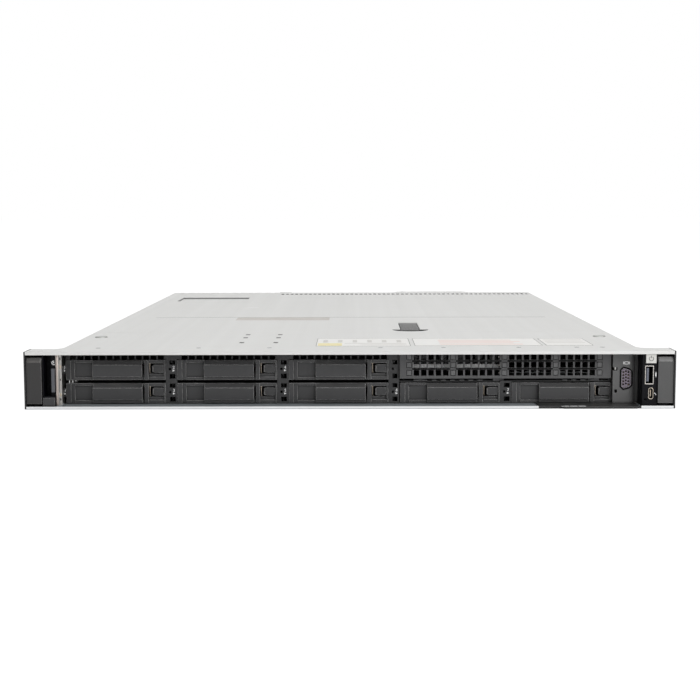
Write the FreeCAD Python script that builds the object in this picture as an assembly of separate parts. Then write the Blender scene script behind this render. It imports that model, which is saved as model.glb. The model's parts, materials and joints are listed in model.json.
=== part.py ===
"""A 1U rack server: sheet-steel chassis, drive bay with blanks, fans, board and two power supplies.

All sizes are millimetres. Every function below places its solids by the distance behind the front
lip (y = 0 on the lip, growing to the rear). save() then moves them into the part's own frame, whose
origin lies under the middle of the whole object, with +Z up and the front facing -Y.
"""
import FreeCAD
import Part
import math
import os

V = FreeCAD.Vector

# ---- driving dimensions -------------------------------------------------------------------------
EAR_WIDTH = 482.0            # over both rack ears
BODY_WIDTH = 434.0           # over the chassis walls
HEIGHT = 42.8                # one rack unit less its clearance
EAR_DEPTH = 22.0             # front lip to the face that meets the rack
BODY_DEPTH = 657.25          # rack face to the rear wall
HANDLE_REACH = 35.4          # power supply handles behind the rear wall
TAG_PROUD = 2.5              # grip of the pull-out tag in front of the lip
SHEET = 1.2                  # chassis steel
TOP_SHEET = 1.0              # top panel and cover
RACK_HOLE_SPACING = 465.1    # across the rack posts

EAR_X = EAR_WIDTH / 2
BODY_X = BODY_WIDTH / 2
INNER_X = BODY_X - SHEET
REAR = EAR_DEPTH + BODY_DEPTH
OVERALL = REAR + HANDLE_REACH + TAG_PROUD
MIDDLE = OVERALL / 2 - TAG_PROUD
TOP_UNDERSIDE = HEIGHT - TOP_SHEET
LIP_BOTTOM = 40.4            # lower edge of the top front lip
HEM_TOP = 1.9                # upper edge of the bottom front lip
END_PLATE = 1.1              # dark plates that close the ears
SEAM = 155.0                 # front panel to sliding cover
SEAM_GAP = 0.5
COVER_TRAVEL = 12.0
FLANGE_END = 665.0           # clears the rear wall when the cover is slid back

# drive bay
COLUMN_PITCH = 84.0
COLUMN_LEFT = -213.9         # left edge of the first column
BLANK_WIDTH = 75.0
BLANK_HEIGHT = 14.9
BLANK_FACE = 19.5            # bezel flange of a blank, behind the lip
BLANK_DEPTH = 96.0
ROW_BOTTOMS = (2.0, 19.5)
COLUMNS = 5
CAGE_FRONT = 19.8
CAGE_REAR = 122.0
BAR_LEFT = 20.4              # grip bar of a blank, from the blank's left edge
BAR_RIGHT = 57.8
CLEAR = 0.3                  # running clearance between moving pieces

# fans
FAN_PITCH = 47.0
FAN_WIDTH = 46.0
FAN_HEIGHT = 40.0
FAN_FRONT = 166.0
FAN_DEPTH = 52.0
FAN_BORE = 19.2
FAN_GROUPS = ((-207.0, 5), (72.0, 3))      # left edge of the group, number of fans

# power supplies
SUPPLY_WIDTH = 59.2
SUPPLY_LEFTS = (-213.2, -152.8)
SUPPLY_HEIGHT = 39.4
SUPPLY_LENGTH = 185.0

# cover latch
LATCH_X = 52.0
LATCH_PIVOT = (243.0, 39.6)
LATCH_ARM = 12.0
WELL_Y = 176.5               # straight side of the finger well
WELL_SIDES = 14


# ---- helpers ------------------------------------------------------------------------------------
def box(x0, x1, y0, y1, z0, z1):
    return Part.makeBox(x1 - x0, y1 - y0, z1 - z0, V(x0, y0, z0))


def rod(start, radius, length, axis):
    return Part.makeCylinder(radius, length, V(*start), V(*axis))


def stub(centre, radius, x0, x1, sides=8):
    """Many-sided pin along x around centre, given as (y, z)."""
    return prism_x(ring_points(*centre, radius, sides), x0, x1)


def prism_x(points, x0, x1):
    """Polygon of (y, z) points, extruded from x0 to x1."""
    outline = Part.makePolygon([V(x0, y, z) for y, z in points + points[:1]])
    return Part.Face(outline).extrude(V(x1 - x0, 0, 0))


def prism_y(points, y0, y1):
    """Polygon of (x, z) points, extruded from y0 to y1."""
    outline = Part.makePolygon([V(x, y0, z) for x, z in points + points[:1]])
    return Part.Face(outline).extrude(V(0, y1 - y0, 0))


def prism_z(points, z0, z1):
    """Polygon of (x, y) points, extruded from z0 to z1."""
    outline = Part.makePolygon([V(x, y, z0) for x, y in points + points[:1]])
    return Part.Face(outline).extrude(V(0, 0, z1 - z0))


def ring_points(cx, cy, radius, sides, turn=0.0):
    """Corners of a regular polygon."""
    angles = [turn + 2 * math.pi * i / sides for i in range(sides)]
    return [(cx + radius * math.cos(a), cy + radius * math.sin(a)) for a in angles]


def join(solids):
    return solids[0].fuse(solids[1:]).removeSplitter()


def cut(solid, tools):
    return solid.cut(tools).removeSplitter()


def mirror_x(solid):
    return solid.mirror(V(0, 0, 0), V(1, 0, 0))


def save(node, *solids):
    shape = Part.makeCompound(list(solids))
    shape.translate(V(0, -MIDDLE, 0))
    shape.exportStep("parts/" + node + ".step")


# ---- chassis ------------------------------------------------------------------------------------
def wing_outline(x_end, y_back, y_front=0.0):
    """Plan of the front of a top or bottom plate: wings over the ears, curving in to the body."""
    right = [(x_end, y_front), (x_end, y_back - 0.6), (x_end - 16.9, y_back - 0.6),
             (x_end - 19.9, y_back + 1.4), (x_end - 22.0, y_back + 5.4), (BODY_X, y_back + 9.4)]
    left = [(-x, y) for x, y in reversed(right)]
    return right + left


def wing_plate(z0, z1, y_rear):
    wings = prism_z(wing_outline(EAR_X - END_PLATE, EAR_DEPTH), z0, z1)
    return join([wings, box(-BODY_X, BODY_X, EAR_DEPTH, y_rear, z0, z1)])


BOARD_BOSSES = [(x, y) for y in (240.0, 440.0) for x in (-205.0, -70.0, 70.0, 205.0)]
BOARD_BOSSES += [(x, 660.0) for x in (-84.0, 60.0, 205.0)]
BOARD_BOTTOM = 6.2
BOARD_TOP = 7.8
LUG_PLACES = (205.0, 420.0, 630.0)
LUG_Z = 38.6
STRIP_X = (-218.6, -214.1)       # bare steel strip beside the first column
STRIP_Y = (5.0, 6.2)
TAG_SLOT = (140.0, 216.0)


def chassis_tray():
    """Floor with folded front hem, side walls with cover lugs, and bosses for the main board."""
    floor = wing_plate(0.0, SHEET, REAR)
    hem = box(-EAR_X + END_PLATE, EAR_X - END_PLATE, 0.0, 1.5, SHEET, HEM_TOP)
    hem = hem.cut(box(TAG_SLOT[0], TAG_SLOT[1], -1, 2, 0, 3))
    floor = floor.cut(box(TAG_SLOT[0], TAG_SLOT[1], -1, 1.5, -1, 3))
    left_wall = box(-BODY_X, -INNER_X, 5.0, REAR, SHEET, TOP_UNDERSIDE)
    left_wall = left_wall.cut(box(-BODY_X - 1, -INNER_X + 1, 0, 22.0, LIP_BOTTOM, 50))
    left_flange = box(*STRIP_X, *STRIP_Y, SHEET, LIP_BOTTOM)
    right_wall = box(INNER_X, BODY_X, 22.0, REAR, SHEET, TOP_UNDERSIDE)
    right_flange = box(INNER_X - 2.0, BODY_X, 20.8, 22.0, SHEET, LIP_BOTTOM)
    solids = [floor, hem, left_wall, left_flange, right_wall, right_flange]
    for y in LUG_PLACES:
        lug = box(INNER_X - 2.2, INNER_X, y - 1.5, y + 1.5, LUG_Z - 1.5, LUG_Z + 1.5)
        solids += [lug, mirror_x(lug)]
    for x, y in BOARD_BOSSES:
        solids.append(box(x - 3.5, x + 3.5, y - 3.5, y + 3.5, SHEET, BOARD_BOTTOM))
    tray = join(solids)
    return cut(tray, tray_cutouts())


def tray_cutouts():
    """Side vents beside the drive bay, keyholes for the rails, and slots in the floor."""
    tools = []
    for side in (-1, 1):
        for k in range(6):
            y = 40.0 + 12.0 * k
            x0, x1 = sorted((side * (INNER_X - 0.5), side * (BODY_X + 0.5)))
            tools.append(box(x0, x1, y, y + 7.0, 12.0, 30.0))
    for k in range(5):
        x = -120.0 + 60.0 * k
        tools.append(box(x, x + 24.0, 136.0, 141.0, -0.5, SHEET + 0.5))
    return tools


def rail_studs():
    """Shoulder studs that carry the server on its slide rails, four on each side."""
    studs = []
    for y in (62.0, 232.0, 402.0, 572.0):
        neck = stub((y, 21.4), 2.4, BODY_X, BODY_X + 1.6)
        head = stub((y, 21.4), 4.0, BODY_X + 1.6, BODY_X + 3.0)
        stud = neck.fuse(head).removeSplitter()
        studs += [stud, mirror_x(stud)]
    return studs


def front_top_panel():
    """Fixed top panel in front of the cover, with its thick front lip and wings."""
    plate = wing_plate(TOP_UNDERSIDE, HEIGHT, SEAM - SEAM_GAP)
    lip = box(-EAR_X + END_PLATE, EAR_X - END_PLATE, 0.0, 1.6, LIP_BOTTOM, TOP_UNDERSIDE)
    joggle = box(-INNER_X, INNER_X, SEAM - 12.0, SEAM - SEAM_GAP, TOP_UNDERSIDE - 1.0, TOP_UNDERSIDE)
    panel = join([plate, lip, joggle])
    tools = []
    for x in (-85.0, -58.0):
        for y in (64.5, 105.0, 132.0):
            tools.append(box(x - 0.7, x + 0.7, y - 3.0, y + 3.0, TOP_UNDERSIDE - 1.5, HEIGHT + 1))
    for x in (-SCREW_X, SCREW_X):
        tools.append(prism_z(ring_points(x, SCREW_Y, SCREW_RADIUS + 0.2, 12), SCREW_SEAT, HEIGHT + 1))
    return cut(panel, tools)


SCREW_X = 204.0
SCREW_Y = 113.0
SCREW_RADIUS = 5.2
SCREW_SEAT = 42.0            # floor of the screws' recesses


def screws():
    """Flat screws sunk in the top panel, and pan heads on the rear wall."""
    solids = []
    for x in (-SCREW_X, SCREW_X):
        head = prism_z(ring_points(x, SCREW_Y, SCREW_RADIUS, 12), SCREW_SEAT, HEIGHT - 0.1)
        solids.append(head.cut(prism_z(ring_points(x, SCREW_Y, 1.6, 6), SCREW_SEAT + 0.3, HEIGHT)))
    for x, z in REAR_SCREWS:
        head = prism_y(ring_points(x, z, 3.0, 10), REAR, REAR + 1.8)
        solids.append(head.cut(prism_y(ring_points(x, z, 1.5, 6), REAR + 0.8, REAR + 2.0)))
    return solids


# ---- rack ears and front panels -----------------------------------------------------------------
LATCH_HINGE = (4.0, 36.0)        # y and z of the rack latch pin
RACK_HOLE_Z = 21.4
HOUSING_X = 228.0                # inner side of the rack latch bay
FRONT_FACE = 3.0                 # face of the control housings


def ear():
    """Left ear: end plate, rear plate with the rack hole, and the pin of the rack latch."""
    end = box(-EAR_X, -EAR_X + END_PLATE, 0.0, EAR_DEPTH, 0.0, HEIGHT)
    back = box(-EAR_X + END_PLATE, -BODY_X, EAR_DEPTH - 2.0, EAR_DEPTH, SHEET, TOP_UNDERSIDE)
    hole = rod((-RACK_HOLE_SPACING / 2, EAR_DEPTH - 3.0, RACK_HOLE_Z), 3.4, 4.0, (0, 1, 0))
    pin = rod((-EAR_X + END_PLATE, LATCH_HINGE[0], LATCH_HINGE[1]), 1.0,
              EAR_X - END_PLATE - HOUSING_X, (1, 0, 0))
    return join([end, back.cut(hole), pin])


def rack_latch():
    """Left rack latch: a hollow moulded flap with a sloped top, hung on the ear's pin."""
    outline = [(1.0, 3.9), (1.0, 34.9), (2.4, 38.2), (11.5, 38.2), (12.0, 30.0), (5.5, 4.6), (3.4, 3.9)]
    x0, x1 = -EAR_X + END_PLATE + CLEAR, -HOUSING_X - CLEAR
    body = prism_x(outline, x0, x1)
    hollow = box(x0 + 1.3, x1 - 1.3, 3.4, 13.0, 3.0, 36.9)
    bore = rod((x0 - 1, LATCH_HINGE[0], LATCH_HINGE[1]), 1.2, x1 - x0 + 2, (1, 0, 0))
    sleeve = box(x0 + 1.3, x1 - 1.3, 3.0, 6.0, 34.4, 36.9)
    return cut(join([body.cut(hollow), sleeve]), [bore])


def left_control_housing():
    """Dark moulding with the deep status recess and, on its right, the slot of the light bar."""
    body = box(-HOUSING_X, -BODY_X, FRONT_FACE, 20.0, SHEET, TOP_UNDERSIDE)
    foot = box(-HOUSING_X, STRIP_X[0], 1.8, FRONT_FACE, HEM_TOP, 8.8)
    strip_room = box(STRIP_X[0], -BODY_X + 1, 0.0, STRIP_Y[1], 0.0, 50.0)
    recess = box(-227.2, -222.0, 0.0, 15.0, 9.4, 40.6)
    ledge = box(-222.0, STRIP_X[0] + 1, 0.0, 5.6, 9.4, 40.6)
    slot = box(-221.5, -218.7, 0.0, 10.5, 12.2, 30.4)
    return cut(join([body, foot]), [strip_room, recess, ledge, slot])


def right_control_housing():
    """Dark moulding that holds the power button, the USB port and the service port."""
    body = box(BODY_X, HOUSING_X, FRONT_FACE, 20.0, SHEET, TOP_UNDERSIDE)
    power = box(219.0, 227.2, 0.0, 12.0, 33.2, 40.6)
    usb = box(*USB_X, 0.0, 17.0, *USB_Z)
    service = prism_y(service_outline(0.0), 0.0, 14.0)
    reset = rod((219.3, 0.0, 6.3), 0.8, 8.0, (0, 1, 0))
    return cut(body, [power, usb, service, reset])


def id_button():
    """Narrow light bar beside the steel strip, which is also the locator button."""
    return box(-221.2, -218.9, 2.2, 8.6, 12.5, 30.1)


def power_button():
    cap = box(219.3, 226.9, 1.8, 8.0, 33.5, 40.3)
    stem = box(221.6, 224.6, 8.0, 10.6, 35.0, 38.0)
    return join([cap, stem])


def d_outline(x0, x1, z0, z1, corner):
    """Trapezoid-like D outline of a display connector standing on end, wide side at x0."""
    return [(x0 + corner, z0), (x1 - corner, z0 + 1.2), (x1, z0 + 1.2 + corner),
            (x1, z1 - 1.2 - corner), (x1 - corner, z1 - 1.2), (x0 + corner, z1),
            (x0, z1 - corner), (x0, z0 + corner)]


USB_X = (218.7, 225.2)
USB_Z = (17.7, 31.6)
BEZEL_FACE = 15.0
BEZEL_LEFT = 197.3
DISPLAY_X = 207.35               # middle of the display connector
DISPLAY_Z = 20.6
DISPLAY_PINS = [(DISPLAY_X - 0.1 + 1.9 * c, DISPLAY_Z + 2.3 * r + (0.6 if c == 0 else 0.0))
                for c in (-1, 0, 1) for r in (-2, -1, 0, 1, 2)]


def service_outline(wall):
    """Outline of the service socket, an upright oblong with bevelled corners, drawn in by wall."""
    x0, x1, z0, z1 = 221.4 + wall, 225.2 - wall, 6.5 + wall, 15.2 - wall
    bevel = 1.1 - 0.6 * wall
    return [(x0 + bevel, z0), (x1 - bevel, z0), (x1, z0 + bevel), (x1, z1 - bevel),
            (x1 - bevel, z1), (x0 + bevel, z1), (x0, z1 - bevel), (x0, z0 + bevel)]


def display_outline(margin, corner):
    """Outline of the display connector's shell, grown by margin."""
    return d_outline(DISPLAY_X - 3.65 - margin, DISPLAY_X + 3.65 + margin,
                     DISPLAY_Z - 7.7 - margin, DISPLAY_Z + 7.7 + margin, corner)


def vga_bezel():
    """Grey moulding beside the bay, rolled back at its right, with the display connector's well."""
    plan = [(BEZEL_LEFT, BEZEL_FACE), (209.4, BEZEL_FACE), (211.6, BEZEL_FACE + 0.5),
            (213.3, BEZEL_FACE + 1.7), (214.3, BEZEL_FACE + 3.4), (214.5, 19.6), (BODY_X, 19.6),
            (BODY_X, 20.8), (BEZEL_LEFT, 20.8)]
    body = prism_z(plan, ROW_BOTTOMS[0], TOP_UNDERSIDE)
    well = prism_y(display_outline(0.9, 2.2), BEZEL_FACE - 1, BEZEL_FACE + 2.6)
    through = prism_y(display_outline(0.0, 1.5), BEZEL_FACE, 25.0)
    notches = [box(BEZEL_LEFT - 1, BEZEL_LEFT + 3.3, BEZEL_FACE - 1, 21.0, 26.4, 28.9),
               box(BEZEL_LEFT + 1.3, BEZEL_LEFT + 3.3, BEZEL_FACE - 1, 21.0, 9.7, 12.2)]
    return cut(body, [well, through] + notches)


def front_ports():
    """USB socket, service socket and display connector, each a shell with its contacts."""
    usb = box(*USB_X, 2.6, 17.0, *USB_Z)
    usb = usb.cut(box(USB_X[0] + 0.6, USB_X[1] - 0.6, 1.0, 16.0, USB_Z[0] + 0.6, USB_Z[1] - 0.6))
    usb = usb.fuse(box(USB_X[0] + 1.3, USB_X[0] + 3.0, 4.0, 16.0, 19.6, 29.7)).removeSplitter()
    service = prism_y(service_outline(0.0), 2.6, 14.0).cut(prism_y(service_outline(0.5), 1.0, 13.0))
    service = service.fuse(box(223.0, 223.7, 4.2, 13.0, 8.4, 13.3)).removeSplitter()
    display = prism_y(display_outline(0.0, 1.5), BEZEL_FACE + 0.4, 30.0)
    face = prism_y(display_outline(-0.5, 1.3), BEZEL_FACE, BEZEL_FACE + 1.4)
    holes = [box(x - 0.5, x + 0.5, BEZEL_FACE, BEZEL_FACE + 4.4, z - 0.5, z + 0.5)
             for x, z in DISPLAY_PINS]
    return [usb, service, cut(display, [face] + holes)]


GRILLE_LEFT = 37.6
GRILLE_RIGHT = 196.3
GRILLE_FIRST = 41.9              # left side of the first column
GRILLE_CELL_X = 5.5
GRILLE_CELL_Z = 5.95
GRILLE_BAR_X = 1.3
GRILLE_BAR_Z = 1.5
GRILLE_RUNS = (5, 6, 6, 5)       # open columns between the blind ones
GRILLE_BOTTOM = 20.4
GRILLE_ROW = 22.5                # lower edge of the lowest openings
GRILLE_FACE = 17.0


def vent_grille():
    """Moulded air grille: three rows of cells, with columns of blind pads between the open runs."""
    plate = box(GRILLE_LEFT, GRILLE_RIGHT, GRILLE_FACE, GRILLE_FACE + 2.0, GRILLE_BOTTOM, TOP_UNDERSIDE)
    rim = box(GRILLE_LEFT, GRILLE_RIGHT, GRILLE_FACE + 2.0, 25.0, GRILLE_BOTTOM, TOP_UNDERSIDE)
    rim = rim.cut(box(GRILLE_LEFT + 2, GRILLE_RIGHT - 2, 18.0, 26.0, GRILLE_BOTTOM + 1.4, 40.6))
    feet = [box(x, x + 8.0, 21.0, 25.0, CAGE_LOW_TOP, GRILLE_BOTTOM) for x in (48.0, 108.0, 180.0)]
    columns = ["blind"]
    for run in GRILLE_RUNS:
        columns += ["open"] * run + ["blind"]
    openings = []
    pads = []
    for i, kind in enumerate(columns):
        x0 = GRILLE_FIRST + GRILLE_CELL_X * i + GRILLE_BAR_X / 2
        x1 = x0 + GRILLE_CELL_X - GRILLE_BAR_X
        for row in range(3):
            z0 = GRILLE_ROW + GRILLE_CELL_Z * row
            z1 = z0 + GRILLE_CELL_Z - GRILLE_BAR_Z
            if kind == "open":
                openings.append(box(x0, x1, GRILLE_FACE - 1, GRILLE_FACE + 3, z0, z1))
            else:
                openings.append(box(x0, x1, GRILLE_FACE - 1, GRILLE_FACE + 1.0, z0, z1))
                pads.append(box(x0 + 0.4, x1 - 0.4, GRILLE_FACE, GRILLE_FACE + 1.0, z0 + 0.4, z1 - 0.4))
    grille = cut(join([plate, rim] + feet), [Part.makeCompound(openings)])
    return grille.fuse(pads).removeSplitter()


# ---- drive bay ----------------------------------------------------------------------------------
CAGE_PLATE = 0.8
CAGE_TOP = 38.4
CAGE_LOW_TOP = 18.3              # top of the cage under the air grille
TALL_COLUMNS = 3                 # columns with an upper row
TALL_RIGHT = GRILLE_LEFT - 0.3
LOW_RIGHT = BEZEL_LEFT - 0.1
BROW_NOTCHES = 13                # air gaps over each tall column
BROW_BOTTOM = 35.0


def column_left(column):
    return COLUMN_LEFT + COLUMN_PITCH * column


def bays():
    """Left edge and bottom of every bay, lower row first."""
    low = [(column_left(c), ROW_BOTTOMS[0]) for c in range(COLUMNS)]
    high = [(column_left(c), ROW_BOTTOMS[1]) for c in range(TALL_COLUMNS)]
    return low + high


def divider(column):
    """Post to the right of a column: front flange with latch holes, and the web behind it."""
    x0 = column_left(column) + BLANK_WIDTH + 0.2
    x1 = TALL_RIGHT if column == TALL_COLUMNS - 1 else column_left(column + 1) - 0.2
    top = CAGE_TOP if column < TALL_COLUMNS else CAGE_LOW_TOP
    middle = (x0 + x1) / 2
    flange = box(x0, x1, CAGE_FRONT, CAGE_FRONT + 1.2, ROW_BOTTOMS[0], top)
    web = box(middle - 0.8, middle + 0.8, CAGE_FRONT + 8.0, CAGE_REAR, ROW_BOTTOMS[0], top)
    ties = [box(middle - 0.8, middle + 0.8, CAGE_FRONT + 1.2, CAGE_FRONT + 8.0, z - 1.0, z)
            for z in (ROW_BOTTOMS[0] + 6.4, top - 5.0)]
    through = (CAGE_FRONT - 1, CAGE_FRONT + 2)
    holes = []
    for row, bottom in enumerate(ROW_BOTTOMS):
        if row == 0 or column < TALL_COLUMNS:
            for z0, z1 in ((0.8, 4.4), (11.4, 14.6)):
                holes.append(box(x0 + 2.9, x1 - 1.4, *through, bottom + z0, bottom + z1))
            holes.append(box(x0 + 2.4, x0 + 4.0, *through, bottom + 7.2, bottom + 9.0))
    return join([flange.cut(holes), web] + ties)


def drive_cage():
    """Cage of the drive bays: bottom plate, shelf, dividers, top plates and the vented brow."""
    left = COLUMN_LEFT - 0.1
    solids = [box(left, TAG_SLOT[0] - 0.2, CAGE_FRONT, CAGE_REAR, SHEET, ROW_BOTTOMS[0]),
              box(left, TALL_RIGHT, CAGE_FRONT + 3.0, CAGE_REAR,
                  ROW_BOTTOMS[1] - CAGE_PLATE, ROW_BOTTOMS[1]),
              box(left, TALL_RIGHT, CAGE_FRONT, CAGE_REAR, CAGE_TOP, CAGE_TOP + CAGE_PLATE),
              box(TALL_RIGHT, LOW_RIGHT, CAGE_FRONT + 1.2, CAGE_REAR,
                  CAGE_LOW_TOP - CAGE_PLATE, CAGE_LOW_TOP),
              box(TALL_RIGHT - CAGE_PLATE, TALL_RIGHT, CAGE_FRONT, CAGE_REAR, ROW_BOTTOMS[0], CAGE_TOP),
              box(left, TALL_RIGHT, CAGE_FRONT, CAGE_FRONT + 1.0, BROW_BOTTOM, CAGE_TOP)]
    solids += [divider(column) for column in range(COLUMNS - 1)]
    brow_notches = []
    for column in range(TALL_COLUMNS):
        for k in range(BROW_NOTCHES):
            x = column_left(column) + 3.3 + 5.5 * k
            brow_notches.append(box(x, x + 4.6, CAGE_FRONT - 1, CAGE_FRONT + 2,
                                    BROW_BOTTOM - 1, CAGE_TOP - 0.2))
    return cut(join(solids), [Part.makeCompound(brow_notches)])


def drive_blank(left, bottom):
    """Blank carrier: moulded face with a raised grip bar and a catch window, and an open frame."""
    top = bottom + BLANK_HEIGHT
    y = BLANK_FACE
    face = box(left, left + BAR_RIGHT, y + 1.8, y + 3.4, bottom, top)
    block = box(left, left + 3.7, y, y + 1.8, bottom, top)
    step = box(left + 3.7, left + 6.6, y + 0.9, y + 1.8, bottom, top)
    ledges = [box(left + 6.6, left + BAR_LEFT, y + 0.2, y + 1.8, z0, z0 + 1.8)
              for z0 in (bottom, top - 1.8)]
    bar = prism_x([(y + 1.8, bottom + 0.3), (y - 1.6, bottom + 0.3), (y - 1.6, bottom + 2.2),
                   (y - 3.0, bottom + 2.6), (y - 3.0, top - 3.2), (y - 2.6, top - 3.2), (y - 0.2, top - 0.2),
                   (y + 1.8, top - 0.2)], left + BAR_LEFT, left + BAR_RIGHT)
    post = box(left + 59.2, left + 62.2, y - 0.4, y + 3.4, bottom, top)
    end_post = box(left + 73.8, left + BLANK_WIDTH, y, y + 3.4, bottom, top)
    strips = [box(left + BAR_RIGHT, left + BLANK_WIDTH, y + 0.4, y + 3.4, top - 2.4, top),
              box(left + BAR_RIGHT, left + BLANK_WIDTH, y + 0.4, y + 3.4, bottom, bottom + 2.2),
              box(left + BAR_RIGHT, left + BLANK_WIDTH, y + 1.6, y + 3.4, bottom + 2.2, bottom + 4.4)]
    right_rail = box(left + BLANK_WIDTH - 1.6, left + BLANK_WIDTH, y + 34.0, y + BLANK_DEPTH,
                     bottom, top - 3.0)
    arm_root = box(left + 70.4, left + BLANK_WIDTH - 1.6, y + 34.0, y + 38.0, bottom + 4.5, bottom + 10.5)
    frame = [box(left, left + 1.6, y + 3.4, y + BLANK_DEPTH, bottom, top - 3.0),
             box(left, left + BLANK_WIDTH, y + BLANK_DEPTH - 2.0, y + BLANK_DEPTH, bottom, top - 3.0),
             box(left, left + BLANK_WIDTH, y + 3.4, y + BLANK_DEPTH, bottom, bottom + 1.2)]
    blank = join([face, block, step, bar, post, end_post, right_rail, arm_root] + ledges + strips + frame)
    window = box(left + 8.0, left + 60.0, y + 40.0, y + 88.0, bottom - 1, bottom + 3)
    return cut(blank, [window])


def blank_latch(left, bottom):
    """Squeeze catch: a pad in the face's window, on a springy arm fixed well behind it."""
    y = BLANK_FACE
    z0, z1 = bottom + 5.4, bottom + 11.4
    pad = box(left + 66.0, left + 73.4, y + 0.6, y + 3.0, z0, z1)
    grip = box(left + 65.2, left + 66.0, y - 0.4, y + 3.0, z0 + 0.6, z1 - 0.6)
    arm = box(left + 71.4, left + 73.4, y + 3.0, y + 33.9, bottom + 4.5, bottom + 10.5)
    hook = prism_z([(left + 73.4, y + 9.0), (left + 74.9, y + 9.0), (left + 73.4, y + 13.0)],
                   bottom + 5.0, bottom + 10.0)
    return join([pad, grip, arm, hook])


TAG_LEFT = 160.2
TAG_RIGHT = 212.8


def tag_guide():
    """Low dark moulding on the floor that guides the pull-out tag."""
    left = box(TAG_SLOT[0], TAG_LEFT - 0.2, 1.5, 60.0, SHEET, ROW_BOTTOMS[0])
    left_nose = box(TAG_SLOT[0], TAG_LEFT - 0.2, 0.0, 1.5, 0.0, ROW_BOTTOMS[0])
    right = box(TAG_RIGHT + 0.2, 214.2, 1.5, 20.6, SHEET, ROW_BOTTOMS[0])
    right_nose = box(TAG_RIGHT + 0.2, TAG_SLOT[1], 0.0, 1.5, 0.0, ROW_BOTTOMS[0])
    return [join([left, left_nose]), join([right, right_nose])]


def info_tag():
    """Flat pull-out tag with a chamfered grip in front of the lip."""
    plate = box(TAG_LEFT, TAG_RIGHT, -0.6, 88.0, SHEET + 0.05, ROW_BOTTOMS[0] - 0.05)
    grip = prism_z([(156.8, -0.3), (158.4, -TAG_PROUD), (212.0, -TAG_PROUD), (214.6, -0.3)], 0.2, 1.9)
    return join([plate, grip])


def backplane():
    """Circuit board across the back of the cage, with air windows and one socket per bay."""
    board = join([box(-213.0, 196.0, CAGE_REAR, CAGE_REAR + 2.0, 3.0, 17.0),
                  box(-213.0, TALL_RIGHT, CAGE_REAR, CAGE_REAR + 2.0, 3.0, 36.0)])
    windows = []
    sockets = []
    for left, bottom in bays():
        windows.append(box(left + 54.0, left + 72.0, CAGE_REAR - 1, CAGE_REAR + 3, bottom + 3, bottom + 12))
        sockets.append(box(left + 17.0, left + 41.0, CAGE_REAR - 5.0, CAGE_REAR, bottom + 4, bottom + 10))
    return join([board.cut(windows)] + sockets)


# ---- fans ---------------------------------------------------------------------------------------
def fan_centres():
    centres = []
    for left, count in FAN_GROUPS:
        centres += [left + FAN_PITCH * (i + 0.5) for i in range(count)]
    return centres


FAN_AXIS_Z = SHEET + FAN_HEIGHT / 2
HUB_SIDES = 8
DUCT_SIDES = 18
BLADES = 5


def fan_frames():
    """Square fan frames with a round duct and a motor plate on a rear cross bar each."""
    frames = []
    for x in fan_centres():
        block = box(x - FAN_WIDTH / 2, x + FAN_WIDTH / 2, FAN_FRONT, FAN_FRONT + FAN_DEPTH,
                    SHEET, SHEET + FAN_HEIGHT)
        duct = prism_y(ring_points(x, FAN_AXIS_Z, FAN_BORE, DUCT_SIDES), FAN_FRONT - 1,
                       FAN_FRONT + FAN_DEPTH + 1)
        y0, y1 = FAN_FRONT + FAN_DEPTH - 4.0, FAN_FRONT + FAN_DEPTH - 1.0
        bar = box(x - FAN_BORE - 0.4, x + FAN_BORE + 0.4, y0, y1, FAN_AXIS_Z - 1.6, FAN_AXIS_Z + 1.6)
        plate = prism_y(ring_points(x, FAN_AXIS_Z, 9.5, HUB_SIDES), y0, y1)
        frames.append(join([block.cut(duct), bar, plate]))
    return frames


def fan_rotor(x):
    """Hub with flat, pitched blades."""
    hub = prism_y(ring_points(x, FAN_AXIS_Z, 9.0, HUB_SIDES), FAN_FRONT + 6.0, FAN_FRONT + FAN_DEPTH - 4.6)
    blades = []
    for k in range(BLADES):
        blade = box(-0.6, 0.6, -12.0, 12.0, 4.0, 17.0)
        blade.rotate(V(0, 0, 0), V(0, 0, 1), 35)
        blade.rotate(V(0, 0, 0), V(0, 1, 0), 360.0 * k / BLADES)
        blade.translate(V(x, FAN_FRONT + 22.0, FAN_AXIS_Z))
        blades.append(blade)
    return join([hub] + blades)


# ---- main board ---------------------------------------------------------------------------------
PARTITION_X = -93.2              # left face of the power supply bay's inner wall
BAY_FRONT = 484.0
PROCESSOR_X = (-105.0, 105.0)


def motherboard():
    """L-shaped board with processor sockets and a few connector blocks."""
    board = join([box(-213.0, 213.0, 226.0, 476.0, BOARD_BOTTOM, BOARD_TOP),
                  box(-90.0, 213.0, 476.0, 672.0, BOARD_BOTTOM, BOARD_TOP)])
    blocks = [box(x - 28, x + 28, 305.0, 375.0, BOARD_TOP, 12.0) for x in PROCESSOR_X]
    blocks += [box(-60.0, -28.0, 520.0, 552.0, BOARD_TOP, 16.0),
               box(10.0, 18.0, 500.0, 590.0, BOARD_TOP, 18.0),
               box(120.0, 128.0, 500.0, 590.0, BOARD_TOP, 18.0),
               box(-180.0, -130.0, 452.0, 466.0, BOARD_TOP, 17.0),
               box(150.0, 200.0, 232.0, 240.0, BOARD_TOP, 16.0)]
    return join([board] + blocks)


def heat_sinks():
    sinks = []
    for x in PROCESSOR_X:
        base = box(x - 39, x + 39, 290.0, 392.0, 12.0, 15.6)
        fins = [box(x - 39 + 7.7 * k, x - 38 + 7.7 * k, 290.0, 392.0, 15.6, 38.0) for k in range(11)]
        sinks.append(join([base] + fins))
    return sinks


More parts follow.
